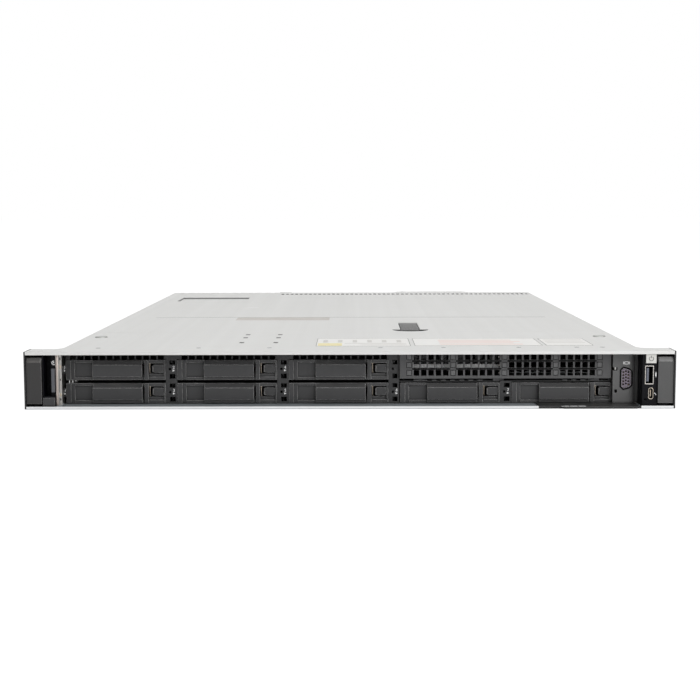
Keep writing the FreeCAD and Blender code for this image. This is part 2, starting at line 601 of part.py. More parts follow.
def memory_modules():
    """Memory sticks in their sockets, three on each side of each processor."""
    modules = []
    for centre in PROCESSOR_X:
        for side in (-1, 1):
            for k in range(3):
                x = centre + side * (54.0 + 12.0 * k)
                modules.append(prism_y([(x - 3.2, BOARD_TOP), (x + 3.2, BOARD_TOP), (x + 3.2, 14.0),
                                        (x + 0.7, 14.0), (x + 0.7, 38.0), (x - 0.7, 38.0),
                                        (x - 0.7, 14.0), (x - 3.2, 14.0)], 272.0, 410.0))
    return modules


def latch_anchor():
    """Folded cross bar whose slot the cover latch works against."""
    bar = box(-INNER_X, INNER_X, 231.0, 252.0, 31.8, 33.0)
    lips = [box(-INNER_X, INNER_X, y, y + 1.2, 28.0, 31.8) for y in (231.0, 250.8)]
    tab = box(-INNER_X, -INNER_X + 1.2, 234.0, 250.0, 20.0, 31.8)
    slot = box(LATCH_X - 6.0, LATCH_X + 6.0, 236.5, 248.5, 31.0, 34.0)
    return cut(join([bar, tab, mirror_x(tab)] + lips), [slot])


# ---- rear ---------------------------------------------------------------------------------------
NETWORK_LEFTS = (-84.0, -66.0, 13.0)
USB_LEFT = -44.0
REAR_VGA_LEFT = -24.0
SLOT_LEFTS = (37.0, 96.0, 155.0)
SLOT_WIDTH = 56.0
SLOT_Z = (20.0, 39.0)
REAR_SCREWS = ((94.5, 34.0), (153.5, 34.0), (212.6, 34.0))
SUPPLY_TOP = SHEET + SUPPLY_HEIGHT


def rear_wall():
    """Rear panel with the supply bay opening, port cut-outs, slot windows and vents."""
    wall = box(-INNER_X, INNER_X, REAR - SHEET, REAR, SHEET, TOP_UNDERSIDE)
    y0, y1 = REAR - SHEET - 1, REAR + 1
    tools = [box(-INNER_X - 1, PARTITION_X, y0, y1, 0, SUPPLY_TOP + 0.3),
             box(USB_LEFT, USB_LEFT + 14.0, y0, y1, BOARD_TOP, 23.0),
             box(REAR_VGA_LEFT + 2, REAR_VGA_LEFT + 28.0, y0, y1, BOARD_TOP + 1.4, 20.0)]
    tools += [box(x, x + 16.0, y0, y1, BOARD_TOP, 21.2) for x in NETWORK_LEFTS]
    tools += [box(x, x + SLOT_WIDTH, y0, y1, *SLOT_Z) for x in SLOT_LEFTS]
    tools += [box(x, x + 6.4, y0, y1, 26.0, 38.0) for x in [-88.0 + 11.0 * k for k in range(11)]]
    tools += [box(x, x + 8.0, y0, y1, 5.0, 16.0) for x in [39.0 + 13.4 * k for k in range(13)]]
    return cut(wall, [Part.makeCompound(tools)])


def expansion_brackets():
    """Slotted covers behind the rear windows."""
    plates = []
    for left in SLOT_LEFTS:
        plate = box(left - 1.3, left + SLOT_WIDTH + 1.3, REAR - SHEET - 0.9, REAR - SHEET,
                    SLOT_Z[0] - 1.4, SLOT_Z[1] + 1.4)
        vents = [box(x, x + 6.0, REAR - 4, REAR, SLOT_Z[0] + 2.5, SLOT_Z[1] - 2.5)
                 for x in [left + 4.0 + 10.4 * k for k in range(5)]]
        plates.append(plate.cut(vents))
    return plates


def network_socket(left):
    shell = box(left, left + 16.0, REAR - 15.0, REAR + 1.0, BOARD_TOP, 21.2)
    cavity = box(left + 2.1, left + 13.9, REAR - 11.0, REAR + 2.0, 10.4, 17.6)
    keyway = box(left + 5.0, left + 11.0, REAR - 11.0, REAR + 2.0, 8.8, 10.4)
    return shell.cut([cavity, keyway])


def rear_ports():
    """Three network sockets, a stacked pair of USB sockets and a display connector."""
    ports = [network_socket(left) for left in NETWORK_LEFTS]
    usb = box(USB_LEFT, USB_LEFT + 14.0, REAR - 15.0, REAR + 0.8, BOARD_TOP, 23.0)
    for z in (8.8, 16.4):
        usb = usb.cut(box(USB_LEFT + 0.6, USB_LEFT + 13.4, REAR - 10.0, REAR + 2, z, z + 5.6))
        usb = usb.fuse(box(USB_LEFT + 1.4, USB_LEFT + 12.6, REAR - 10.0, REAR - 0.6, z + 3.0, z + 4.8))
    ports.append(usb.removeSplitter())
    base = box(REAR_VGA_LEFT, REAR_VGA_LEFT + 30.0, REAR - 14.0, REAR - SHEET, BOARD_TOP, 21.0)
    x0, x1 = REAR_VGA_LEFT + 6.4, REAR_VGA_LEFT + 23.6
    d_shell = prism_y([(x0, 18.4), (x0 + 1.4, 11.0), (x1 - 1.4, 11.0), (x1, 18.4)], REAR - SHEET, REAR + 5.0)
    ports.append(base.fuse(d_shell).removeSplitter())
    return ports


def psu_bay():
    """Inner wall, middle divider and front board that guide the two power supplies."""
    wall = box(PARTITION_X, PARTITION_X + SHEET, BAY_FRONT - 4, REAR - SHEET, SHEET, TOP_UNDERSIDE)
    divider = box(SUPPLY_LEFTS[1] - 1.0, SUPPLY_LEFTS[1] - 0.2, BAY_FRONT + 6, REAR, SHEET, 40.4)
    front = box(-213.6, PARTITION_X, BAY_FRONT, BAY_FRONT + 1.6, SHEET, 34.0)
    sockets = [box(left + 12, left + 48, BAY_FRONT + 1.6, BAY_FRONT + 8.0, 8.0, 18.0)
               for left in SUPPLY_LEFTS]
    foot = box(SUPPLY_LEFTS[1] - 1.0, SUPPLY_LEFTS[1] - 0.2, BAY_FRONT + 1.6, BAY_FRONT + 6, SHEET, 34.0)
    return join([wall, divider, front, foot] + sockets)


# ---- cover --------------------------------------------------------------------------------------
def latch_opening(margin, z0, z1):
    """Half-round finger well in front of a long slot, grown by a margin all round."""
    radius = 15.5 + margin
    arc = [(LATCH_X + radius * math.cos(a), WELL_Y - radius * math.sin(a))
           for a in [math.pi * k / WELL_SIDES for k in range(WELL_SIDES + 1)]]
    half_slot = 8.6 + margin
    back = WELL_Y + margin
    slot = [(LATCH_X - radius, back), (LATCH_X - half_slot, back), (LATCH_X - half_slot, 247.0 + margin),
            (LATCH_X + half_slot, 247.0 + margin), (LATCH_X + half_slot, back), (LATCH_X + radius, back)]
    if margin:
        return prism_z(arc + slot, z0, z1)
    return prism_z(arc + slot[1:-1], z0, z1)


def cover_flange():
    """Left side rail, welded under the cover, with a J slot for each lug of the chassis wall."""
    flange = box(-INNER_X + 0.4, -INNER_X + 1.4, 168.0, FLANGE_END, 36.2, TOP_UNDERSIDE)
    tools = []
    for y in LUG_PLACES:
        x0, x1 = -INNER_X, -INNER_X + 2.0
        tools.append(box(x0, x1, y - COVER_TRAVEL - 1.8, y + 1.8, LUG_Z - 1.8, LUG_Z + 1.8))
        tools.append(box(x0, x1, y - COVER_TRAVEL - 1.8, y - COVER_TRAVEL + 1.8, 36.0, LUG_Z))
    return flange.cut(tools)


def cover():
    """Sliding steel cover: bead, stepped recess, rear vents, rear tongues and slotted side rails."""
    sheet = box(-BODY_X, BODY_X, SEAM, REAR, TOP_UNDERSIDE, HEIGHT)
    pocket_back = box(-196.6, -116.8, 529.8, 591.2, 40.8, TOP_UNDERSIDE)
    tongue = prism_z([(51.0, REAR), (58.0, REAR + 18.0), (137.0, REAR + 18.0), (144.0, REAR)],
                     TOP_UNDERSIDE, HEIGHT)
    small_tongue = box(-88.0, -74.0, REAR, REAR + 11.0, TOP_UNDERSIDE, HEIGHT)
    tools = [box(-187.0, 187.0, 307.4, 308.8, HEIGHT - 0.3, HEIGHT + 1),
             box(-195.4, -118.0, 531.0, 590.0, 41.3, HEIGHT + 1),
             prism_z(ring_points(62.5, REAR + 9.0, 1.8, 8), 41.0, 44.0),
             latch_opening(0.0, TOP_UNDERSIDE - 1, HEIGHT + 1)]
    tools += [box(x, x + 3.4, 641.5, 656.0, 41.0, 44.0) for x in [-84.5 + 5.55 * k for k in range(54)]]
    tools += [box(x, x + 5.6, REAR - 4.0, REAR + 1, 41.0, 44.0)
              for x in [-206.0 + 10.7 * k for k in range(11)]]
    flange = cover_flange()
    panel = cut(join([sheet, pocket_back, tongue, small_tongue]), [Part.makeCompound(tools)])
    return [panel, flange, mirror_x(flange)]


def latch_housing():
    """Dark tub under the cover that carries the latch and leaves room for a fingertip."""
    outer = latch_opening(1.2, 36.8, TOP_UNDERSIDE)
    inner = latch_opening(0.0, 37.8, TOP_UNDERSIDE + 1)
    rear_gap = box(LATCH_X - 8.6, LATCH_X + 8.6, 236.0, 247.0, 36.0, 39.0)
    arm_gap = box(LATCH_X - 5.0, LATCH_X + 5.0, 226.0, 237.0, 36.0, 39.0)
    pin_bore = rod((LATCH_X - 12.0, *LATCH_PIVOT), 1.3, 24.0, (1, 0, 0))
    return cut(outer, [inner, rear_gap, arm_gap, pin_bore])


def cover_latch():
    """Paddle hinged at its rear end, with the arm that levers the cover along its slot."""
    y, z = LATCH_PIVOT
    outline = [(178.0, 40.6), (178.0, 41.8), (178.8, 42.4), (y + 2.2, 42.4), (y + 3.0, 41.6),
               (y + 3.0, 38.6), (y - 4.0, 38.6), (y - 5.0, 40.2), (190.0, 40.2)]
    paddle = prism_x(outline, LATCH_X - 8.0, LATCH_X + 8.0)
    arm = box(LATCH_X - 3.5, LATCH_X + 3.5, y - 2.5, y + 2.5, z - LATCH_ARM, 40.0)
    pin = rod((LATCH_X - 9.4, y, z), 1.0, 18.8, (1, 0, 0))
    return join([paddle, arm, pin])


# ---- power supplies -----------------------------------------------------------------------------
HANDLE_X = 24.0                  # handle, from the left side of its supply
PULL_X = 39.0                    # release tab, from the left side of its supply


def power_supply(left):
    """Metal case with bevelled edges, mains inlet with its pins, and a slotted air outlet."""
    x1 = left + SUPPLY_WIDTH
    bevel = 0.8
    outline = [(left + bevel, SHEET), (x1 - bevel, SHEET), (x1, SHEET + bevel), (x1, SUPPLY_TOP - bevel),
               (x1 - bevel, SUPPLY_TOP), (left + bevel, SUPPLY_TOP), (left, SUPPLY_TOP - bevel),
               (left, SHEET + bevel)]
    case = prism_y(outline, REAR - SUPPLY_LENGTH, REAR)
    inlet = prism_y([(left + 2.6, 13.0), (left + 7.0, 8.6), (left + 15.4, 8.6), (left + 19.8, 13.0),
                     (left + 19.8, 35.6), (left + 2.6, 35.6)], REAR - 15.0, REAR + 1)
    release = box(left + PULL_X - 8.0, left + PULL_X + 4.4, REAR - 10.0, REAR + 1, 12.0, 30.0)
    vents = [box(left + 46.0, left + 56.8, REAR - 8.0, REAR + 1, z, z + 2.2)
             for z in [4.6 + 3.9 * k for k in range(9)]]
    front_vents = [box(x, x + 12.0, REAR - SUPPLY_LENGTH - 1, REAR - SUPPLY_LENGTH + 4, 22.0, 37.0)
                   for x in [left + 5.0 + 18.5 * k for k in range(3)]]
    case = cut(case, [inlet, release] + vents + front_vents)
    pins = [box(x, x + 2.0, REAR - 15.0, REAR - 4.0, z, z + 4.0)
            for x, z in ((left + 10.2, 12.4), (left + 6.2, 24.0), (left + 14.2, 24.0))]
    return join([case] + pins)


def supply_handle(left):
    """Upright loop handle, wide enough for two fingers."""
    x0, x1 = left + HANDLE_X, left + HANDLE_X + 5.0
    reach = REAR + HANDLE_REACH
    loop = prism_x([(REAR, 3.0), (reach - 6.0, 3.0), (reach, 9.0), (reach, 33.0), (reach - 6.0, 39.0),
                    (REAR, 39.0)], x0, x1)
    gap = prism_x([(REAR - 1, 7.6), (reach - 8.0, 7.6), (reach - 4.8, 10.8), (reach - 4.8, 31.2),
                   (reach - 8.0, 34.4), (REAR - 1, 34.4)], x0 - 1, x1 + 1)
    return cut(loop, [gap])


def supply_latch(left):
    """Release tab: a springy strip from inside the case, with a thumb pad on its end."""
    x = left + PULL_X
    strip = box(x, x + 2.0, REAR - 9.6, REAR + 14.0, 14.0, 28.0)
    pad = box(x - 0.8, x + 3.2, REAR + 13.0, REAR + 21.0, 12.6, 29.4)
    return join([strip, pad])


# ---- all nodes ----------------------------------------------------------------------------------
def build():
    os.makedirs("parts", exist_ok=True)
    save("chassis_tray", chassis_tray())
    save("rail_studs", *rail_studs())
    save("front_top_panel", front_top_panel())
    save("screws", *screws())
    save("ear_left", ear())
    save("ear_right", mirror_x(ear()))
    save("rack_latch_left", rack_latch())
    save("rack_latch_right", mirror_x(rack_latch()))
    save("control_housings", left_control_housing(), right_control_housing())
    save("id_button", id_button())
    save("power_button", power_button())
    save("vga_bezel", vga_bezel())
    save("front_ports", *front_ports())
    save("vent_grille", vent_grille())
    save("drive_cage", drive_cage())
    for number, (left, bottom) in enumerate(bays(), 1):
        save("drive_blank_%d" % number, drive_blank(left, bottom))
        save("blank_latch_%d" % number, blank_latch(left, bottom))
    save("tag_guide", *tag_guide())
    save("info_tag", info_tag())
    save("backplane", backplane())
    save("fan_frames", *fan_frames())
    for number, x in enumerate(fan_centres(), 1):
        save("fan_rotor_%d" % number, fan_rotor(x))
    save("motherboard", motherboard())
    save("heat_sinks", *heat_sinks())
    save("memory_modules", *memory_modules())
    save("latch_anchor", latch_anchor())
    save("rear_wall", rear_wall())
    save("expansion_brackets", *expansion_brackets())
    save("rear_ports", *rear_ports())
    save("psu_bay", psu_bay())
    for number, left in enumerate(SUPPLY_LEFTS, 1):
        save("power_supply_%d" % number, power_supply(left))
        save("supply_handle_%d" % number, supply_handle(left))
        save("supply_latch_%d" % number, supply_latch(left))
    save("cover", *cover())
    save("latch_housing", latch_housing())
    save("cover_latch", cover_latch())


build()
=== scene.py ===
"""Looks of a one-unit rack server: finishes for every part, and the small trim that the parts carry."""
import bpy
import bmesh
import json
import math
from mathutils import Matrix, Vector


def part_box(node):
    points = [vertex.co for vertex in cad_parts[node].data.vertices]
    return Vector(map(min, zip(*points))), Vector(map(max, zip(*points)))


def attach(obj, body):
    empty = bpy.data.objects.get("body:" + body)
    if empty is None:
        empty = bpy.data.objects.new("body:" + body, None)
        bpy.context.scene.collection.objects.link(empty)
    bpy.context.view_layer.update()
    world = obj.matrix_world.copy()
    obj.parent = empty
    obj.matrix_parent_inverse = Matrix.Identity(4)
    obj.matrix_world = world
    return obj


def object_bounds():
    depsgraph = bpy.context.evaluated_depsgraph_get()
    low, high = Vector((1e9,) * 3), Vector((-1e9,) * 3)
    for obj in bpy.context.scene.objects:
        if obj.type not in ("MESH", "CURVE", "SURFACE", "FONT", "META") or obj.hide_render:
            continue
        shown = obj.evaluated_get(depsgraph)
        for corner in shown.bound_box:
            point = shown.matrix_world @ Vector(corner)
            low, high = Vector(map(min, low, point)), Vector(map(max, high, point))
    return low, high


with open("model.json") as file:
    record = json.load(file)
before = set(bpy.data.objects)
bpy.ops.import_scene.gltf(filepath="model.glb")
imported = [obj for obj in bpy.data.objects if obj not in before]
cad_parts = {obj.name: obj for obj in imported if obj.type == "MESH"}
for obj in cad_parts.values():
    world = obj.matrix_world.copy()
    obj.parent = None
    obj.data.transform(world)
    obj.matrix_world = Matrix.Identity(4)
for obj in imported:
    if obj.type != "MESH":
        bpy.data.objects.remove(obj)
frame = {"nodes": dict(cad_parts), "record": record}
cad_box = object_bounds()

MM = 0.001
FRONT = cad_box[0][1] + 2.5 * MM  # front lip; the tag's grip stands in front of it
TOP = cad_box[1][2] / MM  # upper face of the top panel


def at(x, y, z):
    """A place in the object's frame from millimetres: across, behind the front lip, up."""
    return Vector((x * MM, FRONT + y * MM, z * MM))


def add_object(name, data):
    made = bpy.data.objects.new(name, data)
    bpy.context.collection.objects.link(made)
    return made


class Span:
    """The box of a CAD node in millimetres, in the directions that at() takes."""

    def __init__(self, node):
        low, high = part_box(node)
        self.x0, self.x1 = low[0] / MM, high[0] / MM
        self.y0, self.y1 = (low[1] - FRONT) / MM, (high[1] - FRONT) / MM
        self.z0, self.z1 = low[2] / MM, high[2] / MM


# ---- shader groups ----
def new_group(name, inputs, outputs):
    """Shader node group with named sockets, its input node and its output node."""
    group = bpy.data.node_groups.new(name, "ShaderNodeTree")
    for label, kind, value in inputs:
        socket = group.interface.new_socket(label, in_out="INPUT", socket_type="NodeSocket" + kind)
        socket.default_value = value
    for label, kind in outputs:
        group.interface.new_socket(label, in_out="OUTPUT", socket_type="NodeSocket" + kind)
    return group, group.nodes.new("NodeGroupInput"), group.nodes.new("NodeGroupOutput")


def dial(node, **values):
    """Writes values on the named inputs of a node."""
    for key, value in values.items():
        node.inputs[key.replace("_", " ")].default_value = value
    return node


class Tree:
    """Short calls for placing and wiring nodes in one tree."""

    def __init__(self, tree):
        self.tree = tree

    def node(self, kind, **settings):
        made = self.tree.nodes.new("ShaderNode" + kind)
        for key, value in settings.items():
            setattr(made, key, value)
        return made

    def link(self, source, target):
        self.tree.links.new(source, target)

    def feed(self, target, value):
        """Wires a socket to an input, or writes a plain value on it."""
        if isinstance(value, bpy.types.NodeSocket):
            self.link(value, target)
        else:
            target.default_value = value

    def math(self, operation, first, second=0.0, clamp=False):
        made = self.node("Math", operation=operation, use_clamp=clamp)
        self.feed(made.inputs[0], first)
        self.feed(made.inputs[1], second)
        return made.outputs[0]

    def place(self):
        """Coordinates in the object's own frame."""
        return self.node("TexCoord").outputs["Object"]

    def remap(self, value, low, high, to_low=0.0, to_high=1.0):
        made = self.node("MapRange")
        for index, item in enumerate((value, low, high, to_low, to_high)):
            self.feed(made.inputs[index], item)
        return made.outputs[0]

    def noise(self, vector, scale, detail=3.0, roughness=0.5):
        made = dial(self.node("TexNoise"), Detail=detail, Roughness=roughness)
        self.link(vector, made.inputs["Vector"])
        self.feed(made.inputs["Scale"], scale)
        return made.outputs["Fac"]

    def stretched(self, vector, scale):
        made = self.node("VectorMath", operation="MULTIPLY")
        self.link(vector, made.inputs[0])
        self.feed(made.inputs[1], scale)
        return made.outputs[0]

    def blend(self, factor, first, second):
        made = self.node("Mix", data_type="RGBA", blend_type="MIX")
        self.feed(made.inputs["Factor"], factor)
        self.feed(made.inputs[6], first)
        self.feed(made.inputs[7], second)
        return made.outputs[2]


def edge_wear_group():
    """Masks of paler outer edges, partly rubbed wear and partly painted highlight, broken up by noise, and of
    painted shade in each inner corner.
    """
    group, start, end = new_group(
        "rubbed_and_lit_edges",
        [("Width", "Float", 0.0006), ("Breakup", "Float", 180.0),
         ("Amount", "Float", 1.0)],
        [("Mask", "Float"), ("Corners", "Float"), ("Normal", "Vector")])
    t = Tree(group)
    bevel = t.node("Bevel", samples=4)
    t.link(start.outputs["Width"], bevel.inputs["Radius"])
    geometry = t.node("NewGeometry")
    dot = t.node("VectorMath", operation="DOT_PRODUCT")
    t.link(bevel.outputs[0], dot.inputs[0])
    t.link(geometry.outputs["True Normal"], dot.inputs[1])
    edge = t.remap(dot.outputs["Value"], 0.997, 0.91)
    place = t.place()
    broken = t.remap(t.noise(place, start.outputs["Breakup"], 4.0, 0.6), 0.38, 0.58, 0.5, 1.0)
    hollow = dial(t.node("AmbientOcclusion", samples=6), Distance=2.4 * MM)
    open_side = t.remap(hollow.outputs["AO"], 0.60, 0.82)
    # Painted highlight and wear: convex edges are made paler, partly for the light that bevels catch.
    outer = t.math("MULTIPLY", edge, open_side)
    mask = t.math("MULTIPLY", t.math("MULTIPLY", outer, broken), start.outputs["Amount"], clamp=True)
    t.link(mask, end.inputs["Mask"])
    # Painted shade: inner corners are darkened from ambient occlusion, where little light reaches.
    t.link(t.remap(hollow.outputs["AO"], 0.90, 0.35), end.inputs["Corners"])
    t.link(bevel.outputs[0], end.inputs["Normal"])
    return group


def grain_group():
    """Fine moulded or sprayed texture: a height for bump and a slow mottling mask."""
    group, start, end = new_group(
        "fine_grain",
        [("Scale", "Float", 1400.0), ("Mottle Scale", "Float", 30.0)],
        [("Height", "Float"), ("Mottle", "Float")])
    t = Tree(group)
    place = t.place()
    t.link(t.noise(place, start.outputs["Scale"], 2.0, 0.7), end.inputs["Height"])
    t.link(t.noise(place, start.outputs["Mottle Scale"], 4.0, 0.6), end.inputs["Mottle"])
    return group


def rolled_group():
    """Lines of rolled or brushed sheet, long in one direction of the object."""
    group, start, end = new_group(
        "rolled_lines",
        [("Stretch", "Vector", (8.0, 900.0, 900.0))],
        [("Lines", "Float"), ("Broad", "Float")])
    t = Tree(group)
    place = t.place()
    drawn = t.stretched(place, start.outputs["Stretch"])
    t.link(t.noise(drawn, 1.0, 3.0, 0.6), end.inputs["Lines"])
    t.link(t.noise(drawn, 0.12, 2.0, 0.5), end.inputs["Broad"])
    return group


def dust_group():
    """Thin dust that settles on faces that look up, in soft patches."""
    group, start, end = new_group(
        "settled_dust",
        [("Amount", "Float", 0.2)],
        [("Mask", "Float")])
    t = Tree(group)
    place = t.place()
    geometry = t.node("NewGeometry")
    split = t.node("SeparateXYZ")
    t.link(geometry.outputs["Normal"], split.inputs[0])
    upward = t.remap(split.outputs["Z"], 0.3, 1.0)
    patches = t.remap(t.noise(place, 55.0, 5.0, 0.65), 0.35, 0.75)
    mask = t.math("MULTIPLY", t.math("MULTIPLY", upward, patches), start.outputs["Amount"], clamp=True)
    t.link(mask, end.inputs["Mask"])
    return group


def scuff_group():
    """Sparse hair-thin scuffs, lying in two directions."""
    group, start, end = new_group(
        "hair_scuffs",
        [("Density", "Float", 1.0)],
        [("Mask", "Float")])
    t = Tree(group)
    place = t.place()
    sums = []
    for stretch in ((26.0, 700.0, 300.0), (600.0, 34.0, 300.0)):
        lines = t.noise(t.stretched(place, stretch), 1.0, 2.0, 0.4)
        sums.append(t.remap(lines, 0.70, 0.76))
    patches = t.remap(t.noise(place, 22.0, 2.0), 0.48, 0.70)
    both = t.math("ADD", sums[0], sums[1], clamp=True)
    mask = t.math("MULTIPLY", t.math("MULTIPLY", both, patches), start.outputs["Density"], clamp=True)
    t.link(mask, end.inputs["Mask"])
    return group


RUBBED_AND_LIT_EDGES = edge_wear_group()
GRAIN = grain_group()
ROLLED = rolled_group()
DUST = dust_group()
SCUFFS = scuff_group()


def srgb(red, green, blue):
    """Linear colour from the 0 to 255 values of a paint chart."""
    def linear(value):
        value /= 255.0
        return value / 12.92 if value <= 0.04045 else ((value + 0.055) / 1.055) ** 2.4
    return (linear(red), linear(green), linear(blue), 1.0)


def grey(value):
    return srgb(value, value, value)


def shade(color, factor):
    """The colour made darker or lighter."""
    return tuple(min(1.0, factor * c) for c in color[:3]) + (1.0,)


def start_material(name):
    material = bpy.data.materials.new(name)
    material.use_nodes = True
    t = Tree(material.node_tree)
    shader = material.node_tree.nodes["Principled BSDF"]
    return material, t, shader


def placed(t, group, **values):
    """A group placed in a material, with its own values."""
    return dial(t.node("Group", node_tree=group), **values)


def mottle(t, grain, low=0.0, high=1.0):
    """A value between two levels, from the slow mottling."""
    return t.remap(grain.outputs["Mottle"], 0.3, 0.7, low, high)


def coloured(t, shader, color, rough):
    t.link(color, shader.inputs["Base Color"])
    t.link(rough, shader.inputs["Roughness"])


def dust_mask(t, amount):
    return placed(t, DUST, Amount=amount).outputs["Mask"]


def bumped(t, shader, height, strength, distance, normal=None):
    bump = dial(t.node("Bump"), Strength=strength, Distance=distance)
    t.link(height, bump.inputs["Height"])
    if normal is not None:
        t.link(normal, bump.inputs["Normal"])
    t.link(bump.outputs[0], shader.inputs["Normal"])


# Painted shade colour for inner corners.
CORNER_SHADE = srgb(8, 8, 9)
TONE_TOP = 2.1 * MM  # the tray's white and grey front ends above this height
TONE_EDGE = 0.2 * MM
HEM_BACK = FRONT + 1.5 * MM  # behind it the grey is painted shade and reflection of the bare strip
TRAY_TONE_END = FRONT + 19.0 * MM
EVEN = (300.0, 300.0, 300.0)  # stretch of a finish without a direction


def plastic(name, color, rubbed_and_lit_tone, roughness=0.5, grain_scale=1500.0, edge_tone_amount=0.5, dust=0.12, edge=0.0005,
            corner_shade=0.75, shine=0.5):
    """Fine-textured moulded plastic with paler edges that are partly wear and partly painted highlight,
    painted shade in each inner corner, and a trace of dust.
    """
    material, t, shader = start_material(name)
    edges = placed(t, RUBBED_AND_LIT_EDGES, Width=edge, Breakup=260.0, Amount=edge_tone_amount)
    grain = placed(t, GRAIN, Scale=grain_scale, Mottle_Scale=45.0)
    mottled = t.blend(mottle(t, grain, 0.0, 0.35), color, shade(color, 1.25))
    # Paler edges: partly wear, partly painted highlight on the bevels.
    edged = t.blend(edges.outputs["Mask"], mottled, rubbed_and_lit_tone)
    dusty = t.blend(dust_mask(t, dust), edged, srgb(168, 166, 160))
    # Painted shade darkens each inner corner.
    shade_in_corner = t.math("MULTIPLY", edges.outputs["Corners"], corner_shade)
    rough = t.remap(grain.outputs["Mottle"], 0.25, 0.75, roughness - 0.06, roughness + 0.08)
    rough = t.math("ADD", rough, t.math("MULTIPLY", shade_in_corner, 0.3))
    rough = t.math("SUBTRACT", rough, t.math("MULTIPLY", edges.outputs["Mask"], 0.12))
    coloured(t, shader, t.blend(shade_in_corner, dusty, CORNER_SHADE), rough)
    dial(shader, Specular_IOR_Level=shine)
    bumped(t, shader, grain.outputs["Height"], 0.35, 0.00005, edges.outputs["Normal"])
    return material


def coated_sheet(name, color, roughness=0.5, metallic=0.06):
    """Light grey coated steel: faint rolled lines, hair scuffs, paler edges that are partly rubbed wear and
    partly painted highlight, soft dust.
    """
    material, t, shader = start_material(name)
    lines = placed(t, ROLLED, Stretch=(900.0, 9.0, 900.0))
    grain = placed(t, GRAIN, Scale=2200.0, Mottle_Scale=9.0)
    edges = placed(t, RUBBED_AND_LIT_EDGES, Width=0.0005, Breakup=120.0, Amount=0.5)
    scuffs = placed(t, SCUFFS, Density=0.30)
    toned = t.blend(t.remap(lines.outputs["Lines"], 0.3, 0.7, 0.0, 0.35), color, shade(color, 0.955))
    mottled = t.blend(t.remap(grain.outputs["Mottle"], 0.35, 0.7, 0.0, 0.5), toned, shade(color, 0.965))
    scuffed = t.blend(scuffs.outputs["Mask"], mottled, srgb(238, 238, 236))
    edged = t.blend(edges.outputs["Mask"], scuffed, grey(240))
    dusty = t.blend(dust_mask(t, 0.06), edged, srgb(196, 192, 184))
    coloured(t, shader, dusty, t.remap(lines.outputs["Broad"], 0.3, 0.7, roughness - 0.05, roughness + 0.06))
    dial(shader, Metallic=metallic)
    bumped(t, shader, grain.outputs["Height"], 0.12, 0.00003, edges.outputs["Normal"])
    return material


def plated(name, color, roughness=0.35, spangle=0.5, stretch=(7.0, 800.0, 800.0), tone_to=None):
    """Zinc-coated steel: drawn lines, cloudy spangle, brighter edges that are partly wear and partly painted
    highlight, and, as far back as the given depth, a white hem with a flat grey behind and under it as
    painted shade and reflection.
    """
    material, t, shader = start_material(name)
    lines = placed(t, ROLLED, Stretch=stretch)
    grain = placed(t, GRAIN, Scale=900.0, Mottle_Scale=60.0)
    edges = placed(t, RUBBED_AND_LIT_EDGES, Width=0.0004, Breakup=200.0, Amount=0.8)
    scuffs = placed(t, SCUFFS, Density=0.6)
    clouds = t.remap(grain.outputs["Mottle"], 0.35, 0.65, 0.0, spangle)
    clouded = t.blend(clouds, color, shade(color, 0.80))
    drawn = t.blend(t.remap(lines.outputs["Lines"], 0.35, 0.65, 0.0, 0.4), clouded, shade(color, 1.12))
    edged = t.blend(edges.outputs["Mask"], drawn, srgb(235, 235, 232))
    dial(shader, Metallic=1.0)
    if tone_to is not None:
        split = t.node("SeparateXYZ")
        t.link(t.place(), split.inputs[0])
        bare = t.math("MAXIMUM", t.remap(split.outputs["Y"], tone_to, tone_to + TONE_EDGE),
                      t.remap(split.outputs["Z"], TONE_TOP, TONE_TOP + TONE_EDGE))
        # Painted shade and reflection: behind the hem and under its fold, the bare strip is shown as flat
        # grey.
        behind_hem = t.remap(split.outputs["Y"], HEM_BACK, HEM_BACK + 0.1 * MM)
        underside = t.remap(split.outputs["Z"], 0.55 * MM, 0.35 * MM)
        coat = t.blend(t.math("MAXIMUM", behind_hem, underside), LIP_WHITE, SHADE_AND_REFLECTION_GREY)
        edged = t.blend(bare, coat, edged)
        t.link(bare, shader.inputs["Metallic"])
    rough = t.remap(lines.outputs["Lines"], 0.3, 0.7, roughness - 0.07, roughness + 0.10)
    coloured(t, shader, edged, t.math("ADD", rough, t.math("MULTIPLY", scuffs.outputs["Mask"], 0.15)))
    bumped(t, shader, lines.outputs["Lines"], 0.08, 0.00002, edges.outputs["Normal"])
    return material


def glossy_cap(name, color, roughness=0.28, dust=0.05):
    """Smooth moulded cap, such as a button or a light bar."""
    material, t, shader = start_material(name)
    grain = placed(t, GRAIN, Scale=3000.0, Mottle_Scale=150.0)
    edges = placed(t, RUBBED_AND_LIT_EDGES, Width=0.0004, Breakup=300.0, Amount=0.25)
    toned = t.blend(mottle(t, grain, 0.0, 0.2), color, shade(color, 0.9))
    dusty = t.blend(dust_mask(t, dust), toned, srgb(190, 188, 182))
    coloured(t, shader, dusty, mottle(t, grain, roughness - 0.04, roughness + 0.06))
    bumped(t, shader, grain.outputs["Height"], 0.1, 0.00002, edges.outputs["Normal"])
    return material


